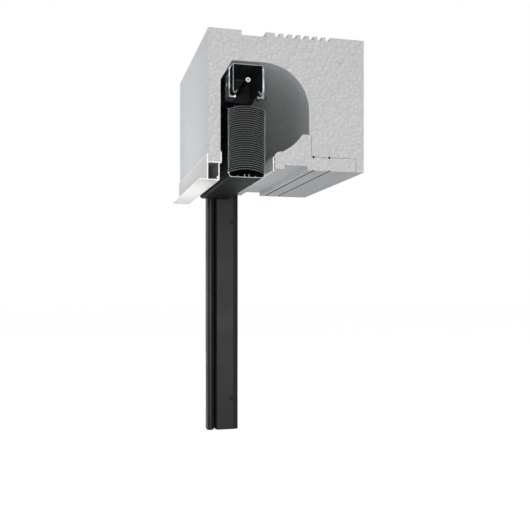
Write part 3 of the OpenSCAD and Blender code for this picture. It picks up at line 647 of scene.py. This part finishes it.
class Coat(Enum):
    """The finishes that the object wears, each with its real material."""

    # Moulded bead foam: matt, pale grey, small pressed beads with fine seams, painted light on each bead and
    # painted shade in its zones.
    FOAM = BeadFoam("expanded polystyrene, moulded", zones=FOAM_PAINTED_SHADE_ZONES)
    # Extruded rigid PVC: smooth satin white, with painted shade in its zones.
    PVC = MouldedPlastic("rigid PVC, extruded white", "f2f2f1", 0.38, 0.9, 0.2, RAIL_PAINTED_SHADE_ZONES)
    # Fine-structure powder coat on extruded aluminium: dark and matt.
    POWDER = CoatedMetal("aluminium, powder-coated anthracite", "101011", "a9abac", 0.42, 0.9, 0.2, 0.19)
    # Roll-formed bottom rail: dark coil coat that hardly mirrors the floor.
    TRAY = CoatedMetal("aluminium, roll-formed and coil-coated", "101112", "b4b6b7", 0.55, 1.2, 0.15, 0.04)
    # Roll-formed head rail sheet: dark coil coat, sharper highlights.
    SHEET = CoatedMetal("aluminium sheet, coil-coated anthracite", "1e1f21", "a2a4a5", 0.45, 1.2, 0.15)
    # Slat strip: satin coil coat, its sheared ends a dull grey; the near-black coat is partly its own dark
    # colour and partly painted shade for the gaps between the slats.
    SLAT = CoatedMetal("aluminium slat strip, coil-coated", "050606", "b4b5b7", 0.6, 1.4, 0.12, 0.15)
    # Mill-finish aluminium: bright, with drawing lines.
    MILL = BareMetal("aluminium, mill finish", "b9bbbc", "939597", 0.36, 0.5)
    # Galvanised bracket plate: pale and dark grey crystals, some bright and some dull.
    PLATE = Galvanised("steel plate, hot-dip galvanised")
    # Black zinc-plated steel screws and shaft: dark with a dull glint, pale grey where sawn.
    ZINC = BareMetal("steel, black zinc-plated", "3c3d3f", "2b2c2d", 0.36, 0.4, sawn="c6c7c9")
    # Zinc-plated steel anchors and rivets: greyer and a little sharper.
    RIVET = BareMetal("steel, zinc-plated", "a7a9ab", "8b8d8f", 0.28, 0.4)
    # Glass-filled nylon: black, matt.
    NYLON = MouldedPlastic("nylon, moulded black", "0a0a0b", 0.6, 0.6, 0.15)
    # Softer black rubber of the groove's lining and lips.
    RUBBER = MouldedPlastic("EPDM rubber, extruded black", "060607", 0.75, 0.5, 0.15)
    # Dark grey lids, a little glossier than the housings.
    GREY = MouldedPlastic("ABS, moulded dark grey", "1a1a1b", 0.45, 0.6, 0.2)
    # Low-friction white drums and rollers.
    ACETAL = MouldedPlastic("acetal, moulded white", "e2e1db", 0.35, 0.6)
    # Woven lifting tape.
    TAPE = WovenPolyester("polyester tape, woven", "55575a", "222324", 0.8)
    # Braided ladder cord.
    CORD = WovenPolyester("polyester cord, braided", "3e3f41", "161617", 0.6)


MADE: dict[Coat, bpy.types.Material] = {}


def coat(choice: Coat) -> bpy.types.Material:
    """Gives the material of a finish, made once.

    Args:
        choice: the finish.

    Returns:
        Its material.
    """
    if choice not in MADE:
        MADE[choice] = choice.value.build()
    return MADE[choice]


def dress(names: Iterable[str], choice: Coat) -> None:
    """Puts a finish on CAD nodes.

    Args:
        names: the nodes' names.
        choice: the finish.
    """
    for name in names:
        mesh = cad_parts[name].data
        mesh.materials.clear()
        mesh.materials.append(coat(choice))


def clear() -> None:
    """Leaves edit mode and deselects everything."""
    if bpy.context.object is not None and bpy.context.object.mode != "OBJECT":
        bpy.ops.object.mode_set(mode="OBJECT")
    bpy.ops.object.select_all(action="DESELECT")


def select_only(piece: Piece) -> None:
    """Leaves edit mode and makes one piece the selected and active one.

    Args:
        piece: the piece.
    """
    clear()
    piece.select_set(True)
    bpy.context.view_layer.objects.active = piece


def open_mesh(piece: Piece, kind: str) -> None:
    """Starts editing one piece with nothing selected in it.

    Args:
        piece: the piece.
        kind: VERT or FACE.
    """
    select_only(piece)
    bpy.ops.object.mode_set(mode="EDIT")
    bpy.ops.mesh.select_mode(type=kind)
    bpy.ops.mesh.select_all(action="DESELECT")


def pick(piece: Piece, kind: str, test: Callable[[Vector, Vector], bool]) -> None:
    """Selects parts of the piece being edited by their place.

    Args:
        piece: the piece in edit mode.
        kind: VERT or FACE.
        test: takes a centre in the piece's own coordinates and a normal, and says whether to select.
    """
    mesh = bmesh.from_edit_mesh(piece.data)
    for part in (*mesh.faces, *mesh.edges, *mesh.verts):
        part.select = False
    for part in mesh.faces if kind == "FACE" else mesh.verts:
        centre = part.calc_center_median() if kind == "FACE" else part.co
        if test(centre, part.normal):
            part.select_set(True)
    mesh.select_flush_mode()
    bmesh.update_edit_mesh(piece.data)


def settle(piece: Piece, name: str, choice: Coat, body: str | None) -> Piece:
    """Finishes a piece: its place goes into its mesh, and it gets its name, finish and body.

    Args:
        piece: the piece, in any mode.
        name: its name.
        choice: its finish.
        body: the CAD body it rides, or None if it is blended later.

    Returns:
        The piece.
    """
    select_only(piece)
    bpy.ops.object.transform_apply(location=True, rotation=True, scale=True)
    bpy.ops.object.shade_smooth_by_angle(angle=math.radians(SMOOTH_DEG))
    piece.name = name
    piece.data.name = name
    piece.data.materials.clear()
    piece.data.materials.append(coat(choice))
    if body is not None:
        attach(piece, body)
    return piece


def modify(piece: Piece, kind: str, settings: dict[str, Any]) -> None:
    """Adds a modifier to a piece and applies it.

    Args:
        piece: the piece.
        kind: the modifier's type.
        settings: its attributes.
    """
    select_only(piece)
    modifier = piece.modifiers.new(kind.title(), kind)
    for key, value in settings.items():
        setattr(modifier, key, value)
    bpy.ops.object.modifier_apply(modifier=modifier.name)


def copy_to(pattern: Piece, name: str, shift: Vector, body: str | None) -> Piece:
    """Copies a finished pattern with its own mesh, moves the copy's mesh and puts it on a body.

    Args:
        pattern: the finished pattern.
        name: the copy's name.
        shift: how far the copy moves, in metres.
        body: the body it rides, or None if it is blended later.

    Returns:
        The copy.
    """
    twin = pattern.copy()
    twin.data = pattern.data.copy()
    twin.name = name
    twin.data.name = name
    twin.parent = None
    for key in list(twin.keys()):
        del twin[key]
    bpy.context.scene.collection.objects.link(twin)
    twin.matrix_world = Matrix.Identity(4)
    select_only(twin)
    twin.location = shift
    bpy.ops.object.transform_apply(location=True, rotation=False, scale=False)
    if body is not None:
        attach(twin, body)
    return twin


@dataclass(frozen=True)
class Route:
    """A way through one plane across the blind, for a cord or a tape."""

    back: float
    points: tuple[tuple[float, float], ...]

    def place(self, k: int) -> Vector:
        """Gives point k in the frame."""
        return at(self.back, *self.points[k])

    def slants(self) -> list[float]:
        """Works out each point's turn about X from upright, the mean of the stretches that meet there.

        Returns:
            The turns in radians, one for each point.
        """
        turns = []
        for (y0, z0), (y1, z1) in zip(self.points, self.points[1:]):
            turn = math.atan2(-(y1 - y0), z1 - z0)
            while turns and turn - turns[-1] > math.pi:
                turn -= 2 * math.pi
            while turns and turn - turns[-1] < -math.pi:
                turn += 2 * math.pi
            turns.append(turn)
        middles = [(a + b) / 2 for a, b in zip(turns, turns[1:])]
        return [turns[0], *middles, turns[-1]]

    def lay_threads(self, piece: Piece, radius: float | None) -> None:
        """Lays the piece's UV map in millimetres: along the route, and round or across it.

        Args:
            piece: the piece that was swept along this route.
            radius: a cord's radius in millimetres, or None for a flat tape.
        """
        places = [self.place(k) for k in range(len(self.points))]
        slants = self.slants()
        run = [0.0]
        for a, b in zip(places, places[1:]):
            run.append(run[-1] + (b - a).length / MM)
        spots = []
        for vert in piece.data.vertices:
            k = min(range(len(places)), key=lambda n: (places[n] - vert.co).length_squared)
            gap = (vert.co - places[k]) / MM
            normal = Vector((0.0, math.cos(slants[k]), math.sin(slants[k])))
            side = gap.x if radius is None else math.atan2(gap.x, gap.dot(normal)) * radius
            spots.append((run[k], side))
        lay = piece.data.uv_layers.get("UVMap") or piece.data.uv_layers.new(name="UVMap")
        for face in piece.data.polygons:
            sides = [spots[piece.data.loops[n].vertex_index][1] for n in face.loop_indices]
            wraps = radius is not None and max(sides) - min(sides) > math.pi * radius
            for n, side in zip(face.loop_indices, sides):
                along = spots[piece.data.loops[n].vertex_index][0]
                lay.data[n].uv = (along, side + 2 * math.pi * radius if wraps and side < 0 else side)


def filled(points: Iterable[tuple[float, float]], step: float) -> tuple[tuple[float, float], ...]:
    """Puts extra points on a route's long stretches.

    Args:
        points: the route's corners.
        step: the longest stretch to leave.

    Returns:
        The finer route.
    """
    fine: list[tuple[float, float]] = []
    corners = list(points)
    for (y0, z0), (y1, z1) in zip(corners, corners[1:]):
        count = max(1, math.ceil(math.hypot(y1 - y0, z1 - z0) / step))
        fine += [(y0 + (y1 - y0) * n / count, z0 + (z1 - z0) * n / count) for n in range(count)]
    return (*fine, corners[-1])


def sweep(route: Route, end: float | tuple[float, float]) -> Piece:
    """Extrudes a cord's or a tape's end along a route and turns each new end square to it.

    Args:
        route: the way to follow.
        end: a cord's radius, or a tape's width and thickness.

    Returns:
        The piece, closed at both ends.
    """
    clear()
    slants = route.slants()
    start = route.place(0)
    turned = (slants[0], 0.0, 0.0)
    if isinstance(end, float):
        bpy.ops.mesh.primitive_circle_add(
            vertices=10, radius=end * MM, fill_type="NGON", location=start, rotation=turned
        )
    else:
        bpy.ops.mesh.primitive_plane_add(size=MM, location=start, rotation=turned)
        bpy.context.object.scale = (*end, 1.0)
    piece = bpy.context.object
    bpy.ops.object.transform_apply(location=True, rotation=True, scale=True)
    bpy.ops.object.mode_set(mode="EDIT")
    bpy.ops.mesh.select_mode(type="FACE")
    bpy.ops.mesh.select_all(action="SELECT")
    if not isinstance(end, float):
        bpy.ops.mesh.bevel(offset=end[1] * 0.3 * MM, segments=2, affect="VERTICES")
    for k in range(1, len(route.points)):
        there = route.place(k)
        bpy.ops.mesh.extrude_region_move(TRANSFORM_OT_translate={"value": there - route.place(k - 1)})
        if abs(slants[k] - slants[k - 1]) > 1e-6:
            bpy.ops.transform.rotate(
                value=slants[k - 1] - slants[k], orient_axis="X", orient_type="GLOBAL", center_override=there
            )
    bpy.ops.mesh.select_all(action="SELECT")
    bpy.ops.mesh.normals_make_consistent(inside=False)
    return piece


def on_shaft(turn: float, radius: float) -> tuple[float, float]:
    """Gives a point of a circle round the drive shaft.

    Args:
        turn: the point's angle in radians, from the indoor side up.
        radius: the circle's radius.

    Returns:
        The point's distance inward and its height.
    """
    return (HEAD_Y + radius * math.cos(turn), SHAFT_Z + radius * math.sin(turn))


@dataclass
class TopBox:
    """Insulated box, insert, plaster rail and the strips that join them to wall and window."""

    foam: tuple[str, ...] = ("insulated_box", "window_insert", "end_plate")
    white: tuple[str, ...] = ("plaster_rail", "frame_adapter")

    def make(self) -> None:
        """Dresses the box's parts."""
        dress(self.foam, Coat.FOAM)
        dress(self.white, Coat.PVC)
        LOG.info("box dressed: %s", ", ".join(self.foam + self.white))


@dataclass
class HeadRail:
    """Head rail, stirrup brackets, winders and shaft, with the tape and cord wound in the winders."""

    hub_mm: float = 8.3
    wound_mm: float = 13.8
    turns: int = 12
    turn_steps: int = 20
    seam_deg: float = -125.0
    seam_gap_deg: float = 6.0
    wrap_steps: int = 36
    ferrule_mm: tuple[float, float] = (1.25, 5.4)
    nylon: tuple[str, ...] = ("head_rail_end_cap", "winder_housing_near", "winder_housing_far")
    acetal: tuple[str, ...] = ("tape_drum_near", "tape_drum_far", "tilt_roller_near", "tilt_roller_far")

    def wound_tapes(self) -> None:
        """Winds each drum's tape as one spiral; the far one is a copy."""
        steps = self.turns * self.turn_steps
        points = []
        for k in range(steps + 1):
            turn = 2 * math.pi * k / self.turn_steps
            radius = self.hub_mm + (self.wound_mm - self.hub_mm) * k / steps
            points.append(on_shaft(turn, radius))
        route = Route(TAPE_BACKS[0], tuple(points))
        near = settle(sweep(route, WOUND_TAPE), "wound_tape_near", Coat.TAPE, "drive")
        route.lay_threads(near, None)
        copy_to(near, "wound_tape_far", step(TAPE_BACKS), "drive")
        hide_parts("wound_tape")

    def ladder_turns(self) -> None:
        """Lays the ladder cord round each roller, its two ends held in a crimped ferrule clear of the cords."""
        points = []
        for k in range(self.wrap_steps + 1):
            share = (360 - 2 * self.seam_gap_deg) / self.wrap_steps
            turn = math.radians(self.seam_deg + self.seam_gap_deg + k * share)
            points.append(on_shaft(turn, ROLLER_R))
        route = Route(CORD_BACKS[0], tuple(points))
        shift = step(CORD_BACKS)
        near = settle(sweep(route, CORD_R), "ladder_wrap_near", Coat.CORD, "tilt_near")
        route.lay_threads(near, CORD_R)
        far = copy_to(near, "ladder_wrap_far", shift, "tilt_far")
        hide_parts("ladder_turn_near")
        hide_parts("ladder_turn_far")
        clear()
        seam = math.radians(self.seam_deg)
        radius, length = self.ferrule_mm
        place = at(CORD_BACKS[0], *on_shaft(seam, ROLLER_R))
        bpy.ops.mesh.primitive_cylinder_add(
            vertices=16, radius=radius * MM, depth=length * MM, location=place, rotation=(seam + math.pi, 0, 0)
        )
        ferrule = bpy.context.object
        modify(ferrule, "BEVEL", {"width": 0.3 * MM, "segments": 2, "limit_method": "ANGLE"})
        ferrule = settle(ferrule, "ladder_ferrule_near", Coat.RIVET, "tilt_near")
        copy_to(ferrule, "ladder_ferrule_far", shift, "tilt_far")

    def make(self) -> None:
        """Dresses the head rail and models what is wound in it."""
        dress(("head_rail",), Coat.SHEET)
        dress(("bracket_near", "bracket_far"), Coat.PLATE)
        dress(("drive_shaft", "bracket_screws"), Coat.ZINC)
        dress(("ceiling_anchors",), Coat.RIVET)
        dress(self.nylon, Coat.NYLON)
        dress(("winder_lids",), Coat.GREY)
        dress(self.acetal, Coat.ACETAL)
        self.wound_tapes()
        self.ladder_turns()
        LOG.info("head rail dressed")


def carrier(k: int) -> str:
    """Names the body that slat k rides on."""
    return f"blade_{k}" if k <= SPREAD else "bottom"


def repeat(pattern: Piece, name: str, backs: tuple[float, float], ends: tuple[str, str], count: int) -> None:
    """Copies the first slat's near piece to both places on every slat.

    Args:
        pattern: the finished piece on the first slat.
        name: the start of the copies' names.
        backs: both places' distances back from the cut end.
        ends: the ends of the names at those places.
        count: how many slats have the pieces.
    """
    for k in range(1, count + 1):
        for back, end in zip(backs, ends):
            if k > 1 or end != ends[0]:
                copy_to(pattern, f"{name}_{k}_{end}", step((backs[0], back), (k - 1) * PITCH), carrier(k))


@dataclass
class Ladders:
    """Lifting tapes and ladder cords with the rungs that carry the slats."""

    count: int = 28
    cord_out: float = 41.8

    def tapes(self) -> None:
        """Models the near lifting tape from its clamp up to the drum, and copies it to the far station."""
        corners = [
            (SLAT_Y, -13.7), (SLAT_Y, 159.4), (SLAT_Y - 0.2, 161.0), (SLAT_Y - 0.9, 162.6),
            (72.4, 173.9), (71.8, 175.0),
        ]
        route = Route(TAPE_BACKS[0], filled(corners, 6.0))
        near = settle(sweep(route, HUNG_TAPE), "lifting_tape_near", Coat.TAPE, None)
        route.lay_threads(near, None)
        far = copy_to(near, "lifting_tape_far", step(TAPE_BACKS), None)
        for piece, back in zip((near, far), TAPE_BACKS):
            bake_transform(piece)
        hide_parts("lifting_tapes", "tape_leads")

    def cords(self) -> None:
        """Models one ladder cord at the near station, mirrors it across the slats and copies both."""
        lines = []
        for side in (-1, 1):
            y_side, y_top = SLAT_Y + side * self.cord_out, HEAD_Y + side * ROLLER_R
            corners = [
                (y_side, -11.7), (y_side, 120.2), (y_side - side * 0.5, 121.4), (y_side - side * 1.8, 122.3),
                (y_top + side * 1.8, 130.4), (y_top + side * 0.5, 131.3), (y_top, 132.6), (y_top, SHAFT_Z),
            ]
            route = Route(CORD_BACKS[0], filled(corners, 5.0))
            name = "front" if side < 0 else "back"
            near = settle(sweep(route, CORD_R), f"ladder_cord_near_{name}", Coat.CORD, None)
            route.lay_threads(near, CORD_R)
            far = copy_to(near, f"ladder_cord_far_{name}", step(CORD_BACKS), None)
            lines += [(near, y_side, CORD_BACKS[0]), (far, y_side, CORD_BACKS[1])]
        for piece, y_side, back in lines:
            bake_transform(piece)
        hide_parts("ladder_cords")

    def rungs(self) -> None:
        """Ties a thin rung under every slat at both stations; each rides with its slat."""
        half = [
            (0.0, -1.2), (12.0, -2.0), (22.0, -4.0), (30.0, -6.4), (36.2, -9.6), (38.6, -11.1), (40.9, -11.1),
        ]
        ways = [(-y, z) for y, z in reversed(half)] + half[1:]
        points = tuple((SLAT_Y + y, CROWN_TOP + z) for y, z in ways)
        route = Route(CORD_BACKS[0], points)
        pattern = settle(sweep(route, RUNG_R), "rung_1_near", Coat.CORD, carrier(1))
        route.lay_threads(pattern, RUNG_R)
        repeat(pattern, "rung", CORD_BACKS, ("near", "far"), self.count)

    def make(self) -> None:
        """Models the woven goods."""
        self.tapes()
        self.cords()
        self.rungs()
        LOG.info("tapes, ladders and %d rungs made", 2 * self.count)


@dataclass
class SlatPack:
    """The slats with their pins, rivets and slot eyelets, and the bottom rail."""

    seen: int = SPREAD + 1
    eyelet_r: float = 6.0
    eyelet_stretch: float = 4.0
    eyelet_rim: float = 0.8
    eyelet_thick: float = 0.3
    eyelet_drops: tuple[tuple[float, float, float], ...] = (
        (5.0, 7.4, 0.18), (7.4, 9.4, 0.4), (9.4, 12.0, 0.55),
    )
    rivet_backs: tuple[float, float] = (341.5, 350.5)
    rivet_mm: tuple[float, float] = (1.9, 0.34)

    def eyelets(self) -> None:
        """Frames the tape slots of the slats whose tops can be seen with a thin oval eyelet."""
        clear()
        middle = at(TAPE_BACKS[0], SLAT_Y, CROWN_TOP)
        bpy.ops.mesh.primitive_circle_add(
            vertices=32, radius=self.eyelet_r * MM, fill_type="NGON", location=middle
        )
        ring = bpy.context.object
        open_mesh(ring, "VERT")
        for side in (-1, 1):
            pick(ring, "VERT", lambda place, normal, side=side: side * place.y > 1e-6)
            bpy.ops.transform.translate(value=(0, side * self.eyelet_stretch * MM, 0))
        bpy.ops.mesh.select_mode(type="FACE")
        bpy.ops.mesh.select_all(action="SELECT")
        bpy.ops.mesh.inset(thickness=self.eyelet_rim * MM)
        bpy.ops.mesh.delete(type="ONLY_FACE")
        for low, high, drop in self.eyelet_drops:
            pick(ring, "VERT", lambda place, normal, low=low, high=high: low * MM < abs(place.y) <= high * MM)
            bpy.ops.transform.translate(value=(0, 0, -drop * MM))
        bpy.ops.mesh.select_all(action="SELECT")
        bpy.ops.transform.translate(value=(0, 0, self.eyelet_thick * MM))
        bpy.ops.mesh.normals_make_consistent(inside=False)
        modify(ring, "SOLIDIFY", {"thickness": self.eyelet_thick * MM, "offset": 0.0})
        modify(ring, "BEVEL", {"width": 0.09 * MM, "segments": 2, "limit_method": "ANGLE"})
        pattern = settle(ring, "slot_eyelet_1_near", Coat.NYLON, carrier(1))
        repeat(pattern, "slot_eyelet", TAPE_BACKS, ("near", "far"), self.seen)

    def rivets(self) -> None:
        """Sets two low-domed rivet heads over each guide clip that can be seen from above."""
        clear()
        radius, depth = self.rivet_mm
        place = at(self.rivet_backs[0], SLAT_Y, CROWN_TOP + 0.36)
        bpy.ops.mesh.primitive_cylinder_add(vertices=20, radius=radius * MM, depth=depth * MM, location=place)
        rivet = bpy.context.object
        open_mesh(rivet, "FACE")
        pick(rivet, "FACE", lambda centre, normal: normal.z > 0.9)
        bpy.ops.mesh.inset(thickness=0.9 * MM)
        bpy.ops.transform.translate(value=(0, 0, 0.12 * MM))
        modify(rivet, "BEVEL", {"width": 0.08 * MM, "segments": 2, "limit_method": "ANGLE"})
        pattern = settle(rivet, "clip_rivet_1_a", Coat.RIVET, carrier(1))
        repeat(pattern, "clip_rivet", self.rivet_backs, ("a", "b"), self.seen)

    def make(self) -> None:
        """Dresses the slats and the bottom rail and adds the small pieces on them."""
        dress([f"slat_{k}" for k in range(1, SPREAD + 1)], Coat.SLAT)
        dress(("stacked_slats", "bottom_rail_cover"), Coat.SLAT)
        dress([f"guide_pin_{k}" for k in range(1, SPREAD + 1)], Coat.NYLON)
        dress(("bottom_rail_cap", "tape_clips", "ladder_clips", "stacked_pins"), Coat.NYLON)
        dress(("bottom_rail",), Coat.TRAY)
        dress(("bottom_rail_pin",), Coat.MILL)
        self.eyelets()
        self.rivets()
        LOG.info("slat pack dressed")


@dataclass
class GuideRail:
    """Side guide rail with its lining, funnel, plugs and the seal lips at the groove's mouth."""

    lip_back: float = 368.2
    lip_out: float = 2.5
    lip_mm: tuple[float, float] = (1.8, 0.7)
    foot: float = -607.0
    top: float = 127.0

    def lips(self) -> None:
        """Runs a soft lip up each side of the groove's mouth and copies it across."""
        clear()
        for side, name in ((-1, "outdoor"), (1, "indoor")):
            place = at(self.lip_back, SLAT_Y + side * self.lip_out, self.foot)
            bpy.ops.mesh.primitive_plane_add(size=MM, location=place)
            lip = bpy.context.object
            lip.scale = (*self.lip_mm, 1.0)
            bpy.ops.object.transform_apply(location=True, rotation=True, scale=True)
            open_mesh(lip, "FACE")
            bpy.ops.mesh.select_all(action="SELECT")
            bpy.ops.mesh.bevel(offset=0.3 * MM, segments=3, affect="VERTICES")
            bpy.ops.mesh.select_all(action="SELECT")
            rise = (0, 0, (self.top - self.foot) * MM)
            bpy.ops.mesh.extrude_region_move(TRANSFORM_OT_translate={"value": rise})
            bpy.ops.mesh.select_all(action="SELECT")
            bpy.ops.mesh.normals_make_consistent(inside=False)
            settle(lip, f"groove_lip_{name}", Coat.RUBBER, "fixed_frame")

    def make(self) -> None:
        """Dresses the guide rail and adds its lips."""
        dress(("guide_rail",), Coat.POWDER)
        dress(("groove_lining",), Coat.RUBBER)
        dress(("guide_funnel", "cover_plugs"), Coat.NYLON)
        self.lips()
        LOG.info("guide rail dressed")


def shown_ray(tree: Tree) -> Socket:
    """Tells the rays that show the background, straight or mirrored or through glass, from those that light.

    Args:
        tree: the node tree of the backdrop or the world.

    Returns:
        A socket that is 1 for such a ray and 0 for the others.
    """
    path = add_node(tree, "ShaderNodeLightPath")
    shown = path.outputs["Is Camera Ray"]
    for kind in ("Is Glossy Ray", "Is Transmission Ray"):
        shown = add_node(
            tree, "ShaderNodeMath", {"operation": "MAXIMUM"}, {0: shown, 1: path.outputs[kind]}
        ).outputs[0]
    return shown


@dataclass(frozen=True)
class Lamp:
    """One soft square lamp."""

    name: str
    place: tuple[float, float, float]
    aim: tuple[float, float, float]
    size: float
    power: float
    spread_deg: float = 180.0

    def hang(self) -> None:
        """Adds the lamp to the scene, turned to its aim and unseen by the camera."""
        data = bpy.data.lights.new(self.name, "AREA")
        data.size = self.size
        data.energy = self.power
        data.spread = math.radians(self.spread_deg)
        lamp = bpy.data.objects.new(self.name, data)
        lamp.visible_camera = False
        lamp.location = self.place
        lamp.rotation_euler = (Vector(self.aim) - Vector(self.place)).to_track_quat("-Z", "Y").to_euler()
        bpy.context.scene.collection.objects.link(lamp)


@dataclass
class Studio:
    """Floor, lamps, world and camera."""

    lens_mm: float = 50.604
    eye: tuple[float, float, float] = (1.719, -0.4163, -0.2629)
    yaw_deg: float = 14.3
    rise: float = 0.05566
    floor_z: float = -0.608
    floor_glow: float = 0.8
    world_level: float = 0.3
    lamps: tuple[Lamp, ...] = (
        Lamp("key", (3.4, -0.7, -0.27), (0.0, 0.0, 0.0), 0.8, 69.5),
        Lamp("glint", (2.6, 0.35, -0.42), (0.0, 0.0, -0.3), 0.4, 10.0),
        Lamp("low", (0.16, -0.38, -0.6), (-0.04, -0.165, -0.03), 0.3, 0.36, 44.0),
        Lamp("side", (-0.6, -2.4, 0.6), (0.0, 0.0, -0.1), 1.6, 22.0),
        Lamp("rear", (-1.7, 1.5, 1.9), (0.0, 0.1, 0.0), 1.4, 34.0),
    )

    def floor(self) -> None:
        """Lays a white floor under the guide rail's foot."""
        clear()
        bpy.ops.mesh.primitive_plane_add(size=30, location=(0, 0, self.floor_z))
        piece = bpy.context.object
        piece.name = "floor"
        material = bpy.data.materials.new("paper backdrop, white")
        material.use_nodes = True
        tree = material.node_tree
        tree.nodes.clear()
        paper = add_node(tree, "ShaderNodeBsdfDiffuse", {"Color": linear("d0d0d0")})
        glow = add_node(tree, "ShaderNodeEmission", {"Color": (1, 1, 1, 1), "Strength": self.floor_glow})
        bright = add_node(tree, "ShaderNodeAddShader", links={0: paper.outputs[0], 1: glow.outputs[0]})
        backdrop = add_node(
            tree, "ShaderNodeMixShader", links={0: shown_ray(tree), 1: paper.outputs[0], 2: bright.outputs[0]}
        )
        add_node(tree, "ShaderNodeOutputMaterial", links={"Surface": backdrop.outputs[0]})
        piece.data.materials.append(material)

    def world(self) -> None:
        """Sets an even world that shows white to the camera, to gloss and through glass."""
        world = bpy.data.worlds.new("studio")
        bpy.context.scene.world = world
        world.use_nodes = True
        tree = world.node_tree
        tree.nodes.clear()
        level = add_node(
            tree, "ShaderNodeMapRange", {"To Min": self.world_level, "To Max": 1.0}, {"Value": shown_ray(tree)}
        )
        light = add_node(
            tree, "ShaderNodeBackground", {"Color": (1, 1, 1, 1)}, {"Strength": level.outputs["Result"]}
        )
        add_node(tree, "ShaderNodeOutputWorld", links={"Surface": light.outputs[0]})

    def lights(self) -> None:
        """Hangs the soft lamps."""
        for lamp in self.lamps:
            lamp.hang()

    def camera(self) -> None:
        """Places the camera level, looking in past the cut end."""
        data = bpy.data.cameras.new("camera")
        data.sensor_width = 36.0
        data.lens = self.lens_mm
        data.shift_y = self.rise
        data.clip_start = 0.01
        data.clip_end = 60.0
        eye = bpy.data.objects.new("camera", data)
        eye.location = self.eye
        eye.rotation_euler = (math.radians(90), 0.0, math.radians(90 - self.yaw_deg))
        bpy.context.scene.collection.objects.link(eye)
        bpy.context.scene.camera = eye

    def make(self) -> None:
        """Sets the whole studio."""
        self.floor()
        self.world()
        self.lights()
        self.camera()
        bpy.context.scene.view_settings.view_transform = "Standard"
        LOG.info("studio set")


def main() -> None:
    """Builds each sub-assembly in turn."""
    logging.basicConfig(level=logging.INFO, format="%(name)s: %(message)s")
    for part in (TopBox(), HeadRail(), Ladders(), SlatPack(), GuideRail(), Studio()):
        part.make()
    bpy.context.view_layer.update()


if __name__ == "__main__":
    main()
